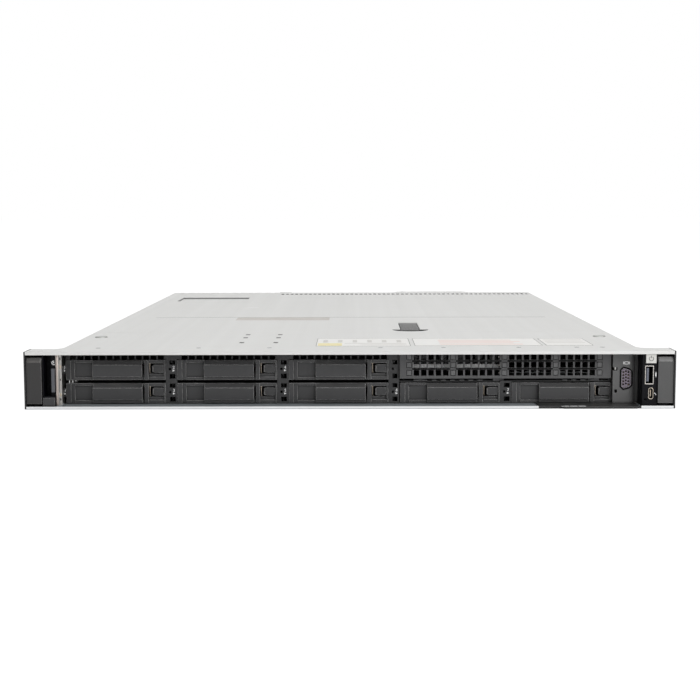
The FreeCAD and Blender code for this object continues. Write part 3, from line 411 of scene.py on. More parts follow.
def board_laminate(name):
    """Solder mask over woven glass, with faint copper tracks under it."""
    material, t, shader = start_material(name)
    place = t.place()
    tracks = t.node("TexVoronoi", feature="DISTANCE_TO_EDGE", distance="MANHATTAN")
    t.link(place, tracks.inputs["Vector"])
    dial(tracks, Scale=160.0)
    track_mask = t.remap(tracks.outputs["Distance"], 0.02, 0.06, 0.55, 0.0)
    grain = placed(t, GRAIN, Scale=2600.0, Mottle_Scale=40.0)
    base = t.blend(mottle(t, grain), srgb(22, 62, 40), srgb(28, 78, 50))
    coloured(t, shader, t.blend(track_mask, base, srgb(52, 112, 72)), mottle(t, grain, 0.30, 0.45))
    bumped(t, shader, track_mask, 0.2, 0.00004)
    return material


def film(name, color, fade=0.08):
    """Satin film label, bare, with a faint fibre and slightly soiled tone."""
    material, t, shader = start_material(name)
    grain = placed(t, GRAIN, Scale=1800.0, Mottle_Scale=70.0)
    toned = t.blend(mottle(t, grain, 0.0, fade * 4), color, shade(color, 1 - fade))
    coloured(t, shader, toned, mottle(t, grain, 0.38, 0.5))
    bumped(t, shader, grain.outputs["Height"], 0.06, 0.00002)
    return material


def inked(name, color):
    """Screen-printed mark: matt ink with tiny pinholes."""
    material, t, shader = start_material(name)
    grain = placed(t, GRAIN, Scale=5200.0, Mottle_Scale=900.0)
    pinholes = t.remap(grain.outputs["Height"], 0.62, 0.72, 0.0, 0.5)
    coloured(t, shader, t.blend(pinholes, color, shade(color, 0.6)), mottle(t, grain, 0.5, 0.65))
    return material


PAINT_GREY = srgb(219, 219, 217)
LIP_WHITE = srgb(232, 233, 234)
# Painted shade and reflection of the bare tray strip behind the hem and under its fold.
SHADE_AND_REFLECTION_GREY = srgb(150, 156, 160)
FINISHES = {
    "galvanised_sheet": plated("zinc_sheet", srgb(186, 187, 184), 0.36),
    "cover_sheet": coated_sheet("cover_coat", PAINT_GREY),
    "black_moulding": plastic("black_plastic", srgb(34, 34, 35), grey(88), 0.46),
    "grey_moulding": plastic("grey_plastic", srgb(72, 72, 73), grey(140), 0.42, edge_tone_amount=0.8),
    "blank_moulding": plastic("blank_plastic", srgb(55, 55, 56), srgb(186, 185, 184), 0.42, edge_tone_amount=1.0),
    "light_bar": glossy_cap("light_bar_cap", srgb(84, 86, 91)),
    "white_button": glossy_cap("white_cap", srgb(206, 205, 201)),
    "connector_metal": plated("connector_plate", srgb(176, 174, 170), 0.30, 0.3, EVEN),
    "circuit_board": board_laminate("board_laminate"),
    "fin_metal": plated("fin_aluminium", srgb(206, 207, 208), 0.30, 0.15, (500.0, 6.0, 500.0)),
    "screw_metal": plated("screw_plate", srgb(128, 130, 134), 0.34, 0.4, (200.0, 200.0, 200.0)),
    "supply_case": plated("supply_sheet", srgb(176, 177, 175), 0.38),
    "release_moulding": glossy_cap("release_cap", srgb(206, 104, 44), 0.36),
    "latch_moulding": plastic("latch_plastic", grey(92), grey(160), 0.5, 900.0),
}


NODE_FINISHES = {
    "chassis_tray": plated("tray_sheet", srgb(186, 184, 180), 0.36, tone_to=TRAY_TONE_END),
    "control_housings": plastic("housing_plastic", srgb(9, 9, 14), srgb(56, 56, 60), 0.40, dust=0.0,
                                shine=0.14),
    # Painted shade: the left latch face is a darker copy of the right one, as if less lit.
    "rack_latch_left": plastic("left_latch_face_painted_shade", srgb(48, 47, 47), srgb(150, 148, 146), 0.46, edge_tone_amount=0.9),
    "rack_latch_right": plastic("latch_face_right", grey(72), grey(150), 0.42, edge_tone_amount=0.9),
    "latch_housing": plastic("well_plastic", grey(10), grey(28), 0.6, shine=0.1),
    "vga_bezel": plastic("bezel_plastic", grey(88), grey(150), 0.44, edge_tone_amount=0.8),
    "info_tag": plastic("tag_plastic", srgb(40, 40, 41), grey(96), 0.34),
    "drive_cage": plastic("cage_paint", srgb(44, 44, 45), grey(96), 0.46),
}
CAP_PLASTIC = plastic("blind_cap", srgb(92, 92, 93), grey(150), 0.42, edge_tone_amount=0.6)
RIM_METAL = plated("rim_metal", srgb(214, 208, 202), 0.26, 0.15, EVEN)
WARM_METAL = plated("warm_metal", srgb(198, 184, 166), 0.28, 0.2, EVEN)
# Painted highlight for the latches' sloped tops, with a darker copy as painted shade for the left latch.
LIT_LATCH_SLOPE = plastic("painted_light_slope", grey(88), srgb(170, 169, 168), 0.40, edge_tone_amount=1.0)
SHADED_LATCH_SLOPE = plastic("painted_shade_slope", srgb(60, 59, 58), srgb(150, 147, 144), 0.42, edge_tone_amount=1.0)
LILAC_METAL = plated("shell_metal", srgb(122, 114, 124), 0.40, 0.15, EVEN)
GOLD_CONTACTS = plated("contact_gold", srgb(214, 178, 104), 0.25, 0.1, EVEN)
STRIP_METAL = plated("strip_metal", srgb(198, 186, 178), 0.34, 0.5, (900.0, 900.0, 7.0))
BLACK_LINING_AND_SHADE = plastic("black_lining_and_shade_plastic", srgb(7, 7, 8), srgb(34, 34, 36), 0.5, edge_tone_amount=0.2, dust=0.0,
                       shine=0.08)
TONGUE_PLASTIC = plastic("tongue_plastic", srgb(96, 100, 112), srgb(176, 180, 190), 0.34, dust=0.0)
REAR_BLUE = plastic("socket_blue", srgb(46, 66, 132), srgb(110, 120, 160), 0.42, dust=0.0)
WHITE_INK = inked("mark_white", grey(232))
GREY_INK = inked("mark_grey", srgb(58, 58, 62))
# Ink for label borders, also used as painted shade round the cover's slots.
BORDER_AND_SHADE_INK = inked("border_and_slot_shade", srgb(98, 96, 94))
BLUSH_INK = inked("label_blush", srgb(236, 215, 208))
YELLOW_INK = inked("label_yellow", srgb(236, 226, 176))
PALE_INK = inked("label_grey", srgb(208, 206, 202))
LABEL_FILM = film("label_film", srgb(233, 232, 229))
STRIP_FILM = film("strip_film", srgb(190, 184, 178))
CROSS_BAR_HIGHLIGHT = film("cross_bar_highlight_film", grey(246))
# Painted shade for the cover's groove, vent edges and recess edges.
VENT_SHADE = film("vent_painted_shade", grey(140))
POCKET_SHADE = film("pocket_painted_shade", grey(128))
GREEN_LENS = glossy_cap("green_lens", srgb(98, 168, 92), 0.18, dust=0.0)
AMBER_LENS = glossy_cap("amber_lens", srgb(196, 138, 58), 0.18, dust=0.0)


def dress_frame():
    """Every CAD node takes the finish of its material slot, or one of its own."""
    for part in frame["record"]["subparts"]:
        node = frame["nodes"][part["node"]]
        node.data.materials.clear()
        node.data.materials.append(NODE_FINISHES.get(part["node"], FINISHES[part["material_slot"]]))


# ---- shapes of the trim ----
ORDER = {"X": (2, 0, 1), "Y": (0, 2, 1), "Z": (0, 1, 2)}


def put(along, first, second, depth):
    """Place of a point drawn across a direction: its two numbers, and how far along it lies."""
    numbers = (first, second, depth)
    return at(*[numbers[i] for i in ORDER[along]])


def oblong(x0, x1, z0, z1, corner=0.0):
    """Corner points of a rectangle, cut back where a corner size is given."""
    if not corner:
        return [(x0, z0), (x1, z0), (x1, z1), (x0, z1)]
    return [(x0 + corner, z0), (x1 - corner, z0), (x1, z0 + corner), (x1, z1 - corner),
            (x1 - corner, z1), (x0 + corner, z1), (x0, z1 - corner), (x0, z0 + corner)]


def inset(sides, wall, corner=0.0):
    """The rectangle inside four sides, set in by a wall."""
    x0, x1, z0, z1 = sides
    return oblong(x0 + wall, x1 - wall, z0 + wall, z1 - wall, corner)


def circle(cx, cy, radius, sides=20, start=0.0, sweep=360.0):
    """Points round a centre; a part sweep gives an open arc with both of its ends."""
    steps = sides if sweep == 360.0 else sides + 1
    angles = [math.radians(start + sweep * k / sides) for k in range(steps)]
    return [(cx + radius * math.cos(a), cy + radius * math.sin(a)) for a in angles]


def arc(cx, cy, outer, inner, sides, start, sweep):
    """Outline of a bent bar between two radii."""
    return circle(cx, cy, outer, sides, start, sweep) + circle(cx, cy, inner, sides, start, sweep)[::-1]


class Shape:
    """Gathers the solids of one trim piece until it becomes an object."""

    def __init__(self):
        self.mesh = bmesh.new()

    def loop(self, along, outline, depth):
        return [self.mesh.verts.new(put(along, a, b, depth)) for a, b in outline]

    def skirt(self, first, second):
        """Four-sided faces between two loops of points."""
        for k in range(len(first)):
            n = (k + 1) % len(first)
            self.mesh.faces.new((first[k], first[n], second[n], second[k]))

    def prism(self, outline, start, end, along="Y"):
        near, far = self.loop(along, outline, start), self.loop(along, outline, end)
        self.mesh.faces.new(near)
        self.mesh.faces.new(far)
        self.skirt(near, far)
        return self

    def block(self, x0, x1, y0, y1, z0, z1):
        return self.prism(oblong(x0, x1, z0, z1), y0, y1)

    def ring(self, outer, inner, start, end, along="Y"):
        """Tube between two outlines that have the same number of points."""
        loops = [self.loop(along, outline, depth)
                 for outline, depth in ((outer, start), (inner, start), (inner, end), (outer, end))]
        for k in range(4):
            self.skirt(loops[k], loops[(k + 1) % 4])
        return self

    def turned(self, centre, profile, along="Y", sides=16):
        """Round solid: profile gives radius and depth, from one flat end to the other."""
        loops = [self.loop(along, circle(*centre, radius, sides), depth) for radius, depth in profile]
        self.mesh.faces.new(loops[0])
        self.mesh.faces.new(loops[-1])
        for first, second in zip(loops, loops[1:]):
            self.skirt(first, second)
        return self

    def become(self, name, slot, material, bevel=0.0, body="chassis"):
        """Makes the object, with softened edges where bevel is given, riding on its body."""
        bmesh.ops.recalc_face_normals(self.mesh, faces=self.mesh.faces)
        data = bpy.data.meshes.new(name)
        self.mesh.to_mesh(data)
        self.mesh.free()
        data.shade_smooth()
        data.set_sharp_from_angle(angle=math.radians(32))
        data.materials.append(material)
        made = add_object(name, data)
        if bevel:
            rounding = made.modifiers.new("edges", "BEVEL")
            rounding.width = bevel * MM
            rounding.segments = 2
            rounding.limit_method = "ANGLE"
        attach(made, body)
        return made

    def black(self, name, bevel=0.0, body="chassis"):
        """Becomes a black lining, hole or gasket, or a black piece of painted shade."""
        return self.become(name, "black_moulding", BLACK_LINING_AND_SHADE, bevel, body)


FILM = 0.06  # thickness of ink, film and labels
INK_LIFT = 0.02  # how far ink's back face stands off what it is printed on


def printed(name, outlines, face, material, body="chassis", slot="white_button", along="Y", towards=-1.0):
    """Thin printed figures on a flat face."""
    shape = Shape()
    for outline in outlines:
        shape.prism(outline, face + towards * INK_LIFT, face + towards * (INK_LIFT + FILM), along)
    return shape.become(name, slot, material, body=body)


def printed_up(name, outlines, face, material, body="chassis", slot="white_button"):
    """The same on a face that looks up."""
    return printed(name, outlines, face, material, body, slot, "Z", 1.0)


# ---- front of the bay ----
BLANKS = ["drive_blank_%d" % n for n in range(1, 9)]
BAY_ORDER = (6, 1, 7, 2, 8, 3, 4, 5)  # bay numbers count down each column, left to right
CAGE_FACE = 19.8


def bay_digits():
    """Plain numbers 0 to 7 beside the bays, each over a small arrow that points at its bay."""
    arrows = []
    for number, blank in enumerate(BAY_ORDER):
        bay = Span("drive_blank_%d" % blank)
        narrow = number < 2
        x = bay.x0 - (0.95 if narrow else 2.7)
        z = bay.z0 + 9.3
        text = bpy.data.curves.new("bay_number_%d" % number, "FONT")
        text.body = str(number)
        text.size = 3.1 * MM
        text.align_x = "CENTER"
        text.align_y = "CENTER"
        text.extrude = FILM / 2 * MM
        text.offset = 0.05 * MM
        text.materials.append(WHITE_INK)
        made = add_object("bay_number_%d" % number, text)
        made.rotation_euler = (math.pi / 2, 0.0, 0.0)
        made.scale.x = 0.62 if narrow else 0.9
        made.location = at(x, CAGE_FACE - 0.06, z)
        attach(made, "chassis")
        half = 0.5 if narrow else 0.9
        arrows.append([(x - half, z - 3.1), (x + half, z - 2.3), (x - half, z - 1.5)])
    printed("bay_arrows", arrows, CAGE_FACE, WHITE_INK)


def number_strip():
    """Two narrow plates left of the first column, which carry its two numbers."""
    plate = Shape()
    for name in ("drive_blank_1", "drive_blank_6"):
        bay = Span(name)
        plate.block(bay.x0 - 1.9, bay.x0 - 0.15, CAGE_FACE, CAGE_FACE + 0.8, bay.z0 + 4.6, bay.z0 + 11.2)
    plate.become("number_strip", "blank_moulding", NODE_FINISHES["drive_cage"], 0.1)


def strip_details():
    """Fold line, bead, tabs and small slots of the bare steel strip at the left of the bay."""
    bay = Span("drive_blank_1")
    right = bay.x0 - 0.25
    left = right - 4.45
    face = 5.0
    seam = Shape()
    for z0, z1 in ((3.0, 8.2), (12.0, 28.6), (33.4, 39.6)):
        seam.block(left + 2.55, left + 2.85, face - 0.05, face + 0.02, z0, z1)
    seam.black("strip_seam")
    bead = Shape()
    bead.prism([(left, face), (left + 0.3, face - 0.35), (left + 1.5, face - 0.35), (left + 2.1, face)],
               2.0, 40.3, "Z")
    bead.become("strip_bead", "galvanised_sheet", STRIP_METAL, 0.12)
    tabs = Shape()
    for z in (10.2, 31.2):
        tabs.block(right - 1.5, right - 0.1, face - 0.5, face + 0.02, z - 1.2, z + 1.2)
    tabs.become("strip_tabs", "galvanised_sheet", WARM_METAL, 0.25)
    slots = Shape()
    for z0, z1 in ((36.2, 38.2), (6.0, 7.6), (21.0, 22.2)):
        slots.block(right - 1.3, right - 0.5, face - 0.05, face + 0.02, z0, z1)
    slots.black("strip_slots")


def blank_springs():
    """Small bright spring wire on each catch, seen through the blank's window."""
    for number, name in enumerate(BLANKS, 1):
        blank = Span(name)
        x, z, y = blank.x0 + 62.9, blank.z0, blank.y0 + 4.0
        spring = Shape()
        spring.block(x, x + 0.45, y, y + 0.5, z + 5.6, z + 12.2)
        spring.block(x - 0.6, x + 0.85, y - 0.2, y + 0.3, z + 12.0, z + 12.5)
        spring.block(x + 0.3, x + 0.85, y - 0.2, y + 0.3, z + 5.2, z + 5.7)
        catch = "blank_latch_%d" % number
        spring.become("catch_spring_%d" % number, "connector_metal", WARM_METAL, 0.1, catch)


def slabs(name, slot, material, bevel, corner, boxes):
    """A piece of blocks whose x and z count from a corner."""
    shape = Shape()
    left, low = corner
    for x0, x1, y0, y1, z0, z1 in boxes:
        shape.block(left + x0, left + x1, y0, y1, low + z0, low + z1)
    shape.become(name, slot, material, bevel)


def bay_backing():
    """Behind the air grille: a cross bar in near-white film, a painted highlight standing in for the light on
    its metal, cable clips, a perforated post and a thin lower rail.
    """
    grille = Span("vent_grille")
    corner = (grille.x0, grille.z1 - 21.4)
    bar = [(4.0, 75.5, 30.0, 30.8, 6.6, 9.5), (4.0, 75.5, 30.8, 42.0, 7.0, 7.6)]
    # Painted highlight: the metal bar sits in shade behind the grille and is made near white.
    slabs("bay_cross_bar", "galvanised_sheet", CROSS_BAR_HIGHLIGHT, 0.15, corner, bar)
    clips = []
    for x in (9.0, 17.0, 31.0, 44.0, 58.0, 69.0):
        clips += [(x, x + 5.2, 33.0, 36.0, 13.0, 17.5), (x + 1.0, x + 4.2, 32.0, 33.0, 14.0, 16.0)]
    slabs("bay_cable_clips", "black_moulding", FINISHES["grey_moulding"], 0.3, corner, clips)
    post = [(74.6, 78.4, 22.0, 22.6, 2.6 + 3.1 * k, 4.0 + 3.1 * k) for k in range(5)]
    post.append((77.9, 78.5, 22.0, 28.0, 2.2, 17.5))
    slabs("bay_post", "galvanised_sheet", RIM_METAL, 0.1, corner, post)
    rail = [(84.0, 146.0, 26.0, 27.0, 3.0, 3.5)]
    rail += [(x, x + 4.4, 25.6, 27.0, 3.4, 4.1) for x in (87.0, 95.0, 102.0, 121.0, 134.0)]
    slabs("bay_lower_rail", "galvanised_sheet", FINISHES["screw_metal"], 0.15, corner, rail)


def blind_pads():
    """Paler caps on the blind cells of the grille, each in a black surround of painted shade, with bands of
    painted shade between the rows.
    """
    grille = Span("vent_grille")
    first, low = grille.x0 + 4.95, grille.z1 - 19.3
    cell_x, cell_z = 5.5, 5.95
    column = 0
    columns = [column]
    for run in (5, 6, 6, 5):
        column += run + 1
        columns.append(column)
    caps, cell_shade = Shape(), Shape()
    for column in columns:
        for row in range(3):
            x, z = first + cell_x * column, low + cell_z * row
            caps.block(x + 0.55, x + 3.65, grille.y0 - 0.12, grille.y0 + 0.05, z + 0.55, z + 3.9)
            cell = (x, x + 4.2, z, z + 4.45)
            # Painted shade round each cell and between the rows of the grille.
            cell_shade.ring(inset(cell, 0.02), inset(cell, 0.42), grille.y0 + 0.55, grille.y0 + 0.95)
    for start, end in zip(columns, columns[1:]):
        for row in range(2):
            z = low + cell_z * row
            cell_shade.block(first + cell_x * start + 4.3, first + cell_x * end - 0.1, grille.y0 - 0.06,
                       grille.y0 + 0.05, z + 4.6, z + 5.75)
    caps.become("blind_caps", "grey_moulding", CAP_PLASTIC, 0.12)
    cell_shade.black("blind_cell_shade")


def plate_tabs():
    """Short stiffening tabs along the plate between the low blanks and the grille."""
    grille = Span("vent_grille")
    shape = Shape()
    low_plate = 18.3
    for start, count in ((10.4, 8), (122.5, 4)):
        for k in range(count):
            x = grille.x0 + start + 6.9 * k
            shape.block(x, x + 3.6, CAGE_FACE, CAGE_FACE + 2.0, low_plate, low_plate + 0.9)
    shape.become("plate_tabs", "blank_moulding", FINISHES["grey_moulding"], 0.15)


# ---- control panels ----
def display_socket():
    """Black gasket, lilac shell rim and contact holes of the display connector, and its symbol."""
    bezel = Span("vga_bezel")
    cx, cz = bezel.x0 + 10.05, 20.6
    face = bezel.y0
    half_x, half_z = 3.65, 7.7

    def outline(grow, corner):
        x0, x1 = cx - half_x - grow, cx + half_x + grow
        z0, z1 = cz - half_z - grow, cz + half_z + grow
        return [(x0 + corner, z0), (x1 - corner, z0 + 1.2), (x1, z0 + 1.2 + corner),
                (x1, z1 - 1.2 - corner), (x1 - corner, z1 - 1.2), (x0 + corner, z1),
                (x0, z1 - corner), (x0, z0 + corner)]

    Shape().ring(outline(1.25, 2.5), outline(0.05, 1.6), face - 0.18, face + 2.5).black("display_gasket", 0.1)
    Shape().ring(outline(0.0, 1.5), outline(-0.5, 1.3), face - 0.15, face + 1.6).become(
        "display_rim", "connector_metal", LILAC_METAL, 0.12)
    Shape().prism(outline(-0.52, 1.3), face + 0.9, face + 1.35).become(
        "display_face", "connector_metal", LILAC_METAL)
    holes = Shape()
    contacts = Shape()
    for column in (-1, 0, 1):
        for row in (-2, -1, 0, 1, 2):
            x = cx - 0.1 + 1.9 * column
            z = cz + 2.3 * row + (0.6 if column == 0 else 0.0)
            holes.turned((x, z), [(0.74, face + 0.80), (0.74, face + 1.3)], sides=12)
            contacts.turned((x, z), [(0.14, face + 0.78), (0.14, face + 1.2)], sides=8)
    holes.black("display_holes")
    contacts.become("display_contacts", "connector_metal", GOLD_CONTACTS)
    mark = Shape()
    ink = (face - INK_LIFT - FILM, face - INK_LIFT)
    screen = (cx - 1.7, cx + 1.7, 31.1, 33.3)
    mark.ring(inset(screen, 0.0, 0.4), oblong(cx - 1.15, cx + 1.15, 31.6, 32.8, 0.3), *ink)
    for x in (cx - 2.5, cx + 2.0):
        mark.prism(oblong(x, x + 0.5, 31.2, 33.2), *ink)
    mark.become("display_mark", "white_button", WHITE_INK)


def usb_socket():
    """Bright rim, black lining and pale tongue of the upright port on the right panel."""
    port = (218.7, 225.2, 17.7, 31.6)
    x0, _, z0, z1 = port
    face = 2.6
    Shape().ring(inset(port, 0.0, 0.5), inset(port, 0.55, 0.3), face - 0.3, face + 2.0).become(
        "usb_rim", "connector_metal", RIM_METAL, 0.1)
    Shape().ring(inset(port, 0.62), inset(port, 0.8), face + 0.2, face + 12.0).black("usb_lining")
    Shape().prism(inset(port, 1.0), face + 11.8, face + 12.2).black("usb_back")
    Shape().block(x0 + 1.24, x0 + 3.06, 3.6, 14.0, z0 + 1.84, z1 - 1.84).become(
        "usb_tongue", "connector_metal", TONGUE_PLASTIC, 0.15)
    pins = Shape()
    for k in range(4):
        pins.block(x0 + 3.04, x0 + 3.14, 4.2, 12.0, z0 + 3.2 + 2.1 * k, z0 + 4.2 + 2.1 * k)
    pins.become("usb_contacts", "connector_metal", GOLD_CONTACTS)


def service_socket():
    """Warm metal rim and dark lining of the small port under it, and its pale tongue."""
    def outline(wall):
        return inset((221.4, 225.2, 6.5, 15.2), wall, 1.1 - 0.6 * wall)

    Shape().ring(outline(0.0), outline(0.5), 2.35, 4.0).become(
        "service_rim", "connector_metal", WARM_METAL, 0.1)
    Shape().ring(outline(0.52), outline(0.68), 2.9, 11.0).black("service_lining")
    Shape().block(222.94, 223.76, 4.0, 11.0, 8.3, 13.4).become(
        "service_tongue", "connector_metal", WARM_METAL, 0.1)


def panel_marks():
    """Symbols on the control panels and the power button, the left foot and the reset hole's rim."""
    button = Span("power_button")
    cx, cz = (button.x0 + button.x1) / 2, (button.z0 + button.z1) / 2 - 0.1
    face = button.y0
    power = Shape()
    ink = (face - INK_LIFT - FILM, face - INK_LIFT)
    power.prism(arc(cx, cz, 1.75, 1.35, 28, 125.0, 290.0), *ink)
    power.prism(oblong(cx - 0.2, cx + 0.2, cz + 0.5, cz + 2.3, 0.08), *ink)
    power.become("power_mark", "black_moulding", GREY_INK, body="power_button")
    panel = 3.0
    plug = [oblong(226.35, 227.35, 23.6, 26.2, 0.25), oblong(226.5, 226.7, 26.2, 27.0),
            oblong(227.0, 227.2, 26.2, 27.0), oblong(226.75, 226.95, 22.8, 23.6)]
    tool = [[(226.2, 10.6), (226.6, 11.0), (227.5, 9.9), (227.2, 9.5)],
            circle(226.25, 10.95, 0.42, 10)]
    printed("port_mark", plug, panel, WHITE_INK)
    printed("service_mark", tool, panel, WHITE_INK)
    Shape().block(-227.6, -218.9, 1.68, 1.82, 2.6, 8.4).become(
        "left_foot", "grey_moulding", FINISHES["blank_moulding"], 0.05)
    ledge = 5.6
    cx, cz = -220.0, 34.2
    wave = arc(cx, cz, 1.5, 1.0, 16, 60.0, 190.0)
    health = [wave, circle(cx + 0.1, cz, 0.5, 12), oblong(cx - 0.6, cx + 0.9, cz - 1.7, cz - 1.1)]
    printed("health_mark", health, ledge, WHITE_INK)
    outer, inner = circle(219.9, 6.3, 0.85, 16), circle(219.9, 6.3, 0.5, 16)
    Shape().ring(outer, inner, panel - 0.25, panel + 0.4).black("reset_rim", 0.05)


def latch_details():
    """Sloped top of each rack latch in a paler film as a painted highlight; the left one takes a darker copy
    as painted shade.
    """
    for name, paint in (("rack_latch_left", SHADED_LATCH_SLOPE), ("rack_latch_right", LIT_LATCH_SLOPE)):
        latch = Span(name)
        y = latch.y0
        slope = [(y + 0.02, 34.7), (y - 0.14, 34.7), (y - 0.14, 35.1), (y + 1.35, 38.15), (y + 1.5, 38.1)]
        Shape().prism(slope, latch.x0 + 0.5, latch.x1 - 0.5, "X").become(
            name + "_slope", "grey_moulding", paint, 0.06, body=name)


def tag_label():
    """Three bare white dashes and a grey bead along the top of the pull-out tag's grip."""
    tag = Span("info_tag")
    grip_top = 1.9
    spans = ((-0.2, 5.6), (6.4, 11.8), (12.6, 18.2))
    dashes = [oblong(tag.x0 + x0, tag.x0 + x1, -2.2, 0.8) for x0, x1 in spans]
    printed_up("tag_film", dashes, grip_top, WHITE_INK, "info_tag")
    bead = [oblong(tag.x0 + 21.0, tag.x0 + 35.0, -2.3, -1.2)]
    printed_up("tag_bead", bead, grip_top, BORDER_AND_SHADE_INK, "info_tag")


# ---- top ----
LABEL_EDGE = 0.35


def label(name, x0, x1, y0, y1):
    """Bare film with a thin border line round it."""
    Shape().prism(oblong(x0, x1, y0, y1, 0.8), TOP, TOP + FILM, "Z").become(
        name, "cover_sheet", LABEL_FILM)
    inner = inset((x0, x1, y0, y1), LABEL_EDGE, 0.7)
    Shape().ring(oblong(x0, x1, y0, y1, 0.8), inner, TOP + 0.01, TOP + FILM + 0.03, "Z").become(
        name + "_border", "cover_sheet", BORDER_AND_SHADE_INK)


def top_labels():
    """Three textless labels on the fixed panel, with plain colour blocks only."""
    label("label_left", -26.0, 46.8, 38.5, 98.0)
    label("label_middle", 50.0, 148.0, 40.0, 97.0)
    label("label_right", 151.0, 187.0, 40.0, 95.0)
    ink = TOP + FILM
    printed_up("label_yellow_block", [oblong(-24.6, -6.0, 40.5, 60.0)], ink, YELLOW_INK, slot="cover_sheet")
    blocks = [oblong(-21.0 + 11.6 * k, -17.5 + 11.6 * k, 66.0, 84.0) for k in range(6)]
    blocks += [oblong(-4.0, 44.0, 56.0, 58.5), oblong(8.0, 44.0, 46.5, 48.5)]
    blocks += [oblong(154.0, 184.0, 60.0 + 11.0 * k, 63.0 + 11.0 * k) for k in range(3)]
    printed_up("label_grey_blocks", blocks, ink, PALE_INK, slot="cover_sheet")
    blush = [oblong(70.0, 134.0 - 6.0 * (k % 2), 48.0 + 10.5 * k, 53.0 + 10.5 * k) for k in range(4)]
    printed_up("label_blush_blocks", blush, ink, BLUSH_INK, slot="cover_sheet")


def panel_studs():
    """Studs, painted shade round the slots and two screw heads of the panel; marks and a shallow lance of the
    cover.
    """
    studs = Shape()
    for x in (-190.6, -114.5, -60.8, 23.3, 71.0, 128.0, 171.8, 191.3):
        studs.turned((x, 27.0), [(2.0, TOP), (1.9, TOP + 0.10), (1.2, TOP + 0.14)], "Z", 18)
    studs.become("panel_studs", "cover_sheet", FINISHES["screw_metal"])
    spots = [(x, y) for x in (-85.0, -58.2) for y in (67.0, 106.0, 132.0)]
    # Painted shade: dark film round each slot so that it reads as a recess.
    shades = [oblong(x - 1.8, x + 1.8, y - 3.5, y + 3.5) for x, y in spots]
    printed_up("slot_shades", shades, TOP, BORDER_AND_SHADE_INK)
    heads = Shape()
    for x in (-204.0, 204.0):
        head = [(5.1, TOP - 0.3), (5.1, TOP + 0.35), (4.5, TOP + 0.8)]
        heads.turned((x, 113.0), head, "Z", 28)
        heads.turned((x, 113.0), [(2.2, TOP + 0.7), (2.0, TOP + 0.86)], "Z", 6)
    heads.become("panel_screw_heads", "screw_metal", FINISHES["galvanised_sheet"], 0.1)
    spots = [-206.0 + 12.3 * k for k in range(5)] + [-141.0 + 12.3 * k for k in range(5)]
    dimples = [oblong(x - 2.4, x + 2.4, 669.0, 676.0, 1.5) for x in spots]
    printed_up("rear_dimples", dimples, TOP, PALE_INK, "cover")
    lance = Shape()
    lance.prism(oblong(-109.0, -97.0, 429.0, 434.0, 1.6), TOP, TOP + 0.12, "Z")
    lance.become("cover_lance", "cover_sheet", WHITE_INK, 0.05, body="cover")


def cover_strip():
    """Slim bare film strip in front of the cover's bead."""
    Shape().prism(oblong(-108.0, -20.0, 276.0, 306.0, 1.0), TOP, TOP + FILM, "Z").become(
        "cover_film", "cover_sheet", STRIP_FILM, body="cover")


VENT_COUNT = 54
VENT_LEFT = -84.5
VENT_PITCH = 5.55
VENT_END = 656.0
WELL = (52.0, 176.5)  # middle of the finger well's straight side
SHEET_EDGE = (TOP - 0.95, TOP + 0.02)


def cover_linings():
    """Painted shade: dark edges of the recess, the groove, the vents, the finger well and the hole in the
    rear tongue.
    """
    recess = Shape()
    recess.block(-195.4, -118.0, 589.4, 590.1, 41.3, TOP - 0.05)
    recess.block(-195.5, -194.9, 531.0, 589.4, 41.3, TOP - 0.05)
    recess.become("pocket_shade", "cover_sheet", POCKET_SHADE, body="cover")
    groove = Shape()
    groove.prism(oblong(-187.0, 187.0, 307.4, 308.8), TOP - 0.32, TOP - 0.26, "Z")
    groove.prism(oblong(-187.0, 187.0, 308.7, 308.85), TOP - 0.32, TOP + 0.02, "Z")
    groove.become("groove_shade", "cover_sheet", VENT_SHADE, body="cover")
    vents = Shape()
    for k in range(VENT_COUNT):
        x = VENT_LEFT + VENT_PITCH * k
        vents.block(x, x + 3.4, VENT_END - 0.2, VENT_END + 0.1, *SHEET_EDGE)
        vents.block(x - 0.05, x + 0.1, VENT_END - 14.5, VENT_END, *SHEET_EDGE)
    vents.become("vent_shades", "cover_sheet", VENT_SHADE, body="cover")
    well = Shape()
    for x0, x1 in ((WELL[0] - 15.6, WELL[0] - 8.6), (WELL[0] + 8.6, WELL[0] + 15.6)):
        well.block(x0, x1, WELL[1] - 0.1, WELL[1] + 0.1, TOP - 1.0, TOP + 0.02)
    well.prism(arc(*WELL, 15.6, 15.4, 24, 180.0, 180.0), TOP - 1.0, TOP + 0.02, "Z")
    well.black("well_shade", body="cover")
    Shape().turned((62.5, Span("rear_wall").y1 + 9.0), [(1.7, TOP - 0.9), (1.7, TOP + 0.02)],
                   "Z", 12).black("tongue_opening_shade", body="cover")


def paddle_details():
    """Black nose and side edge, and moulded grip dots, of the latch paddle."""
    paddle = Span("cover_latch")
    middle = (paddle.x0 + paddle.x1) / 2
    y = paddle.y0
    Shape().block(middle - 7.9, middle + 7.9, y - 0.12, y + 0.04, 40.7, 41.8).black(
        "paddle_nose", body="cover_latch")
    Shape().block(middle - 8.05, middle - 7.7, y + 1.0, y + 62.0, 41.2, 42.44).black(
        "paddle_edge", 0.05, "cover_latch")
    dots = Shape()
    for row in range(10):
        for k in range(5):
            x = middle - 5.6 + 2.8 * k + (0.7 if row % 2 else -0.7)
            dots.turned((x, y + 5.0 + 4.6 * row), [(0.85, 42.38), (0.8, 42.5), (0.4, 42.58)], "Z", 10)
    dots.become("paddle_dots", "latch_moulding", LIT_LATCH_SLOPE, body="cover_latch")


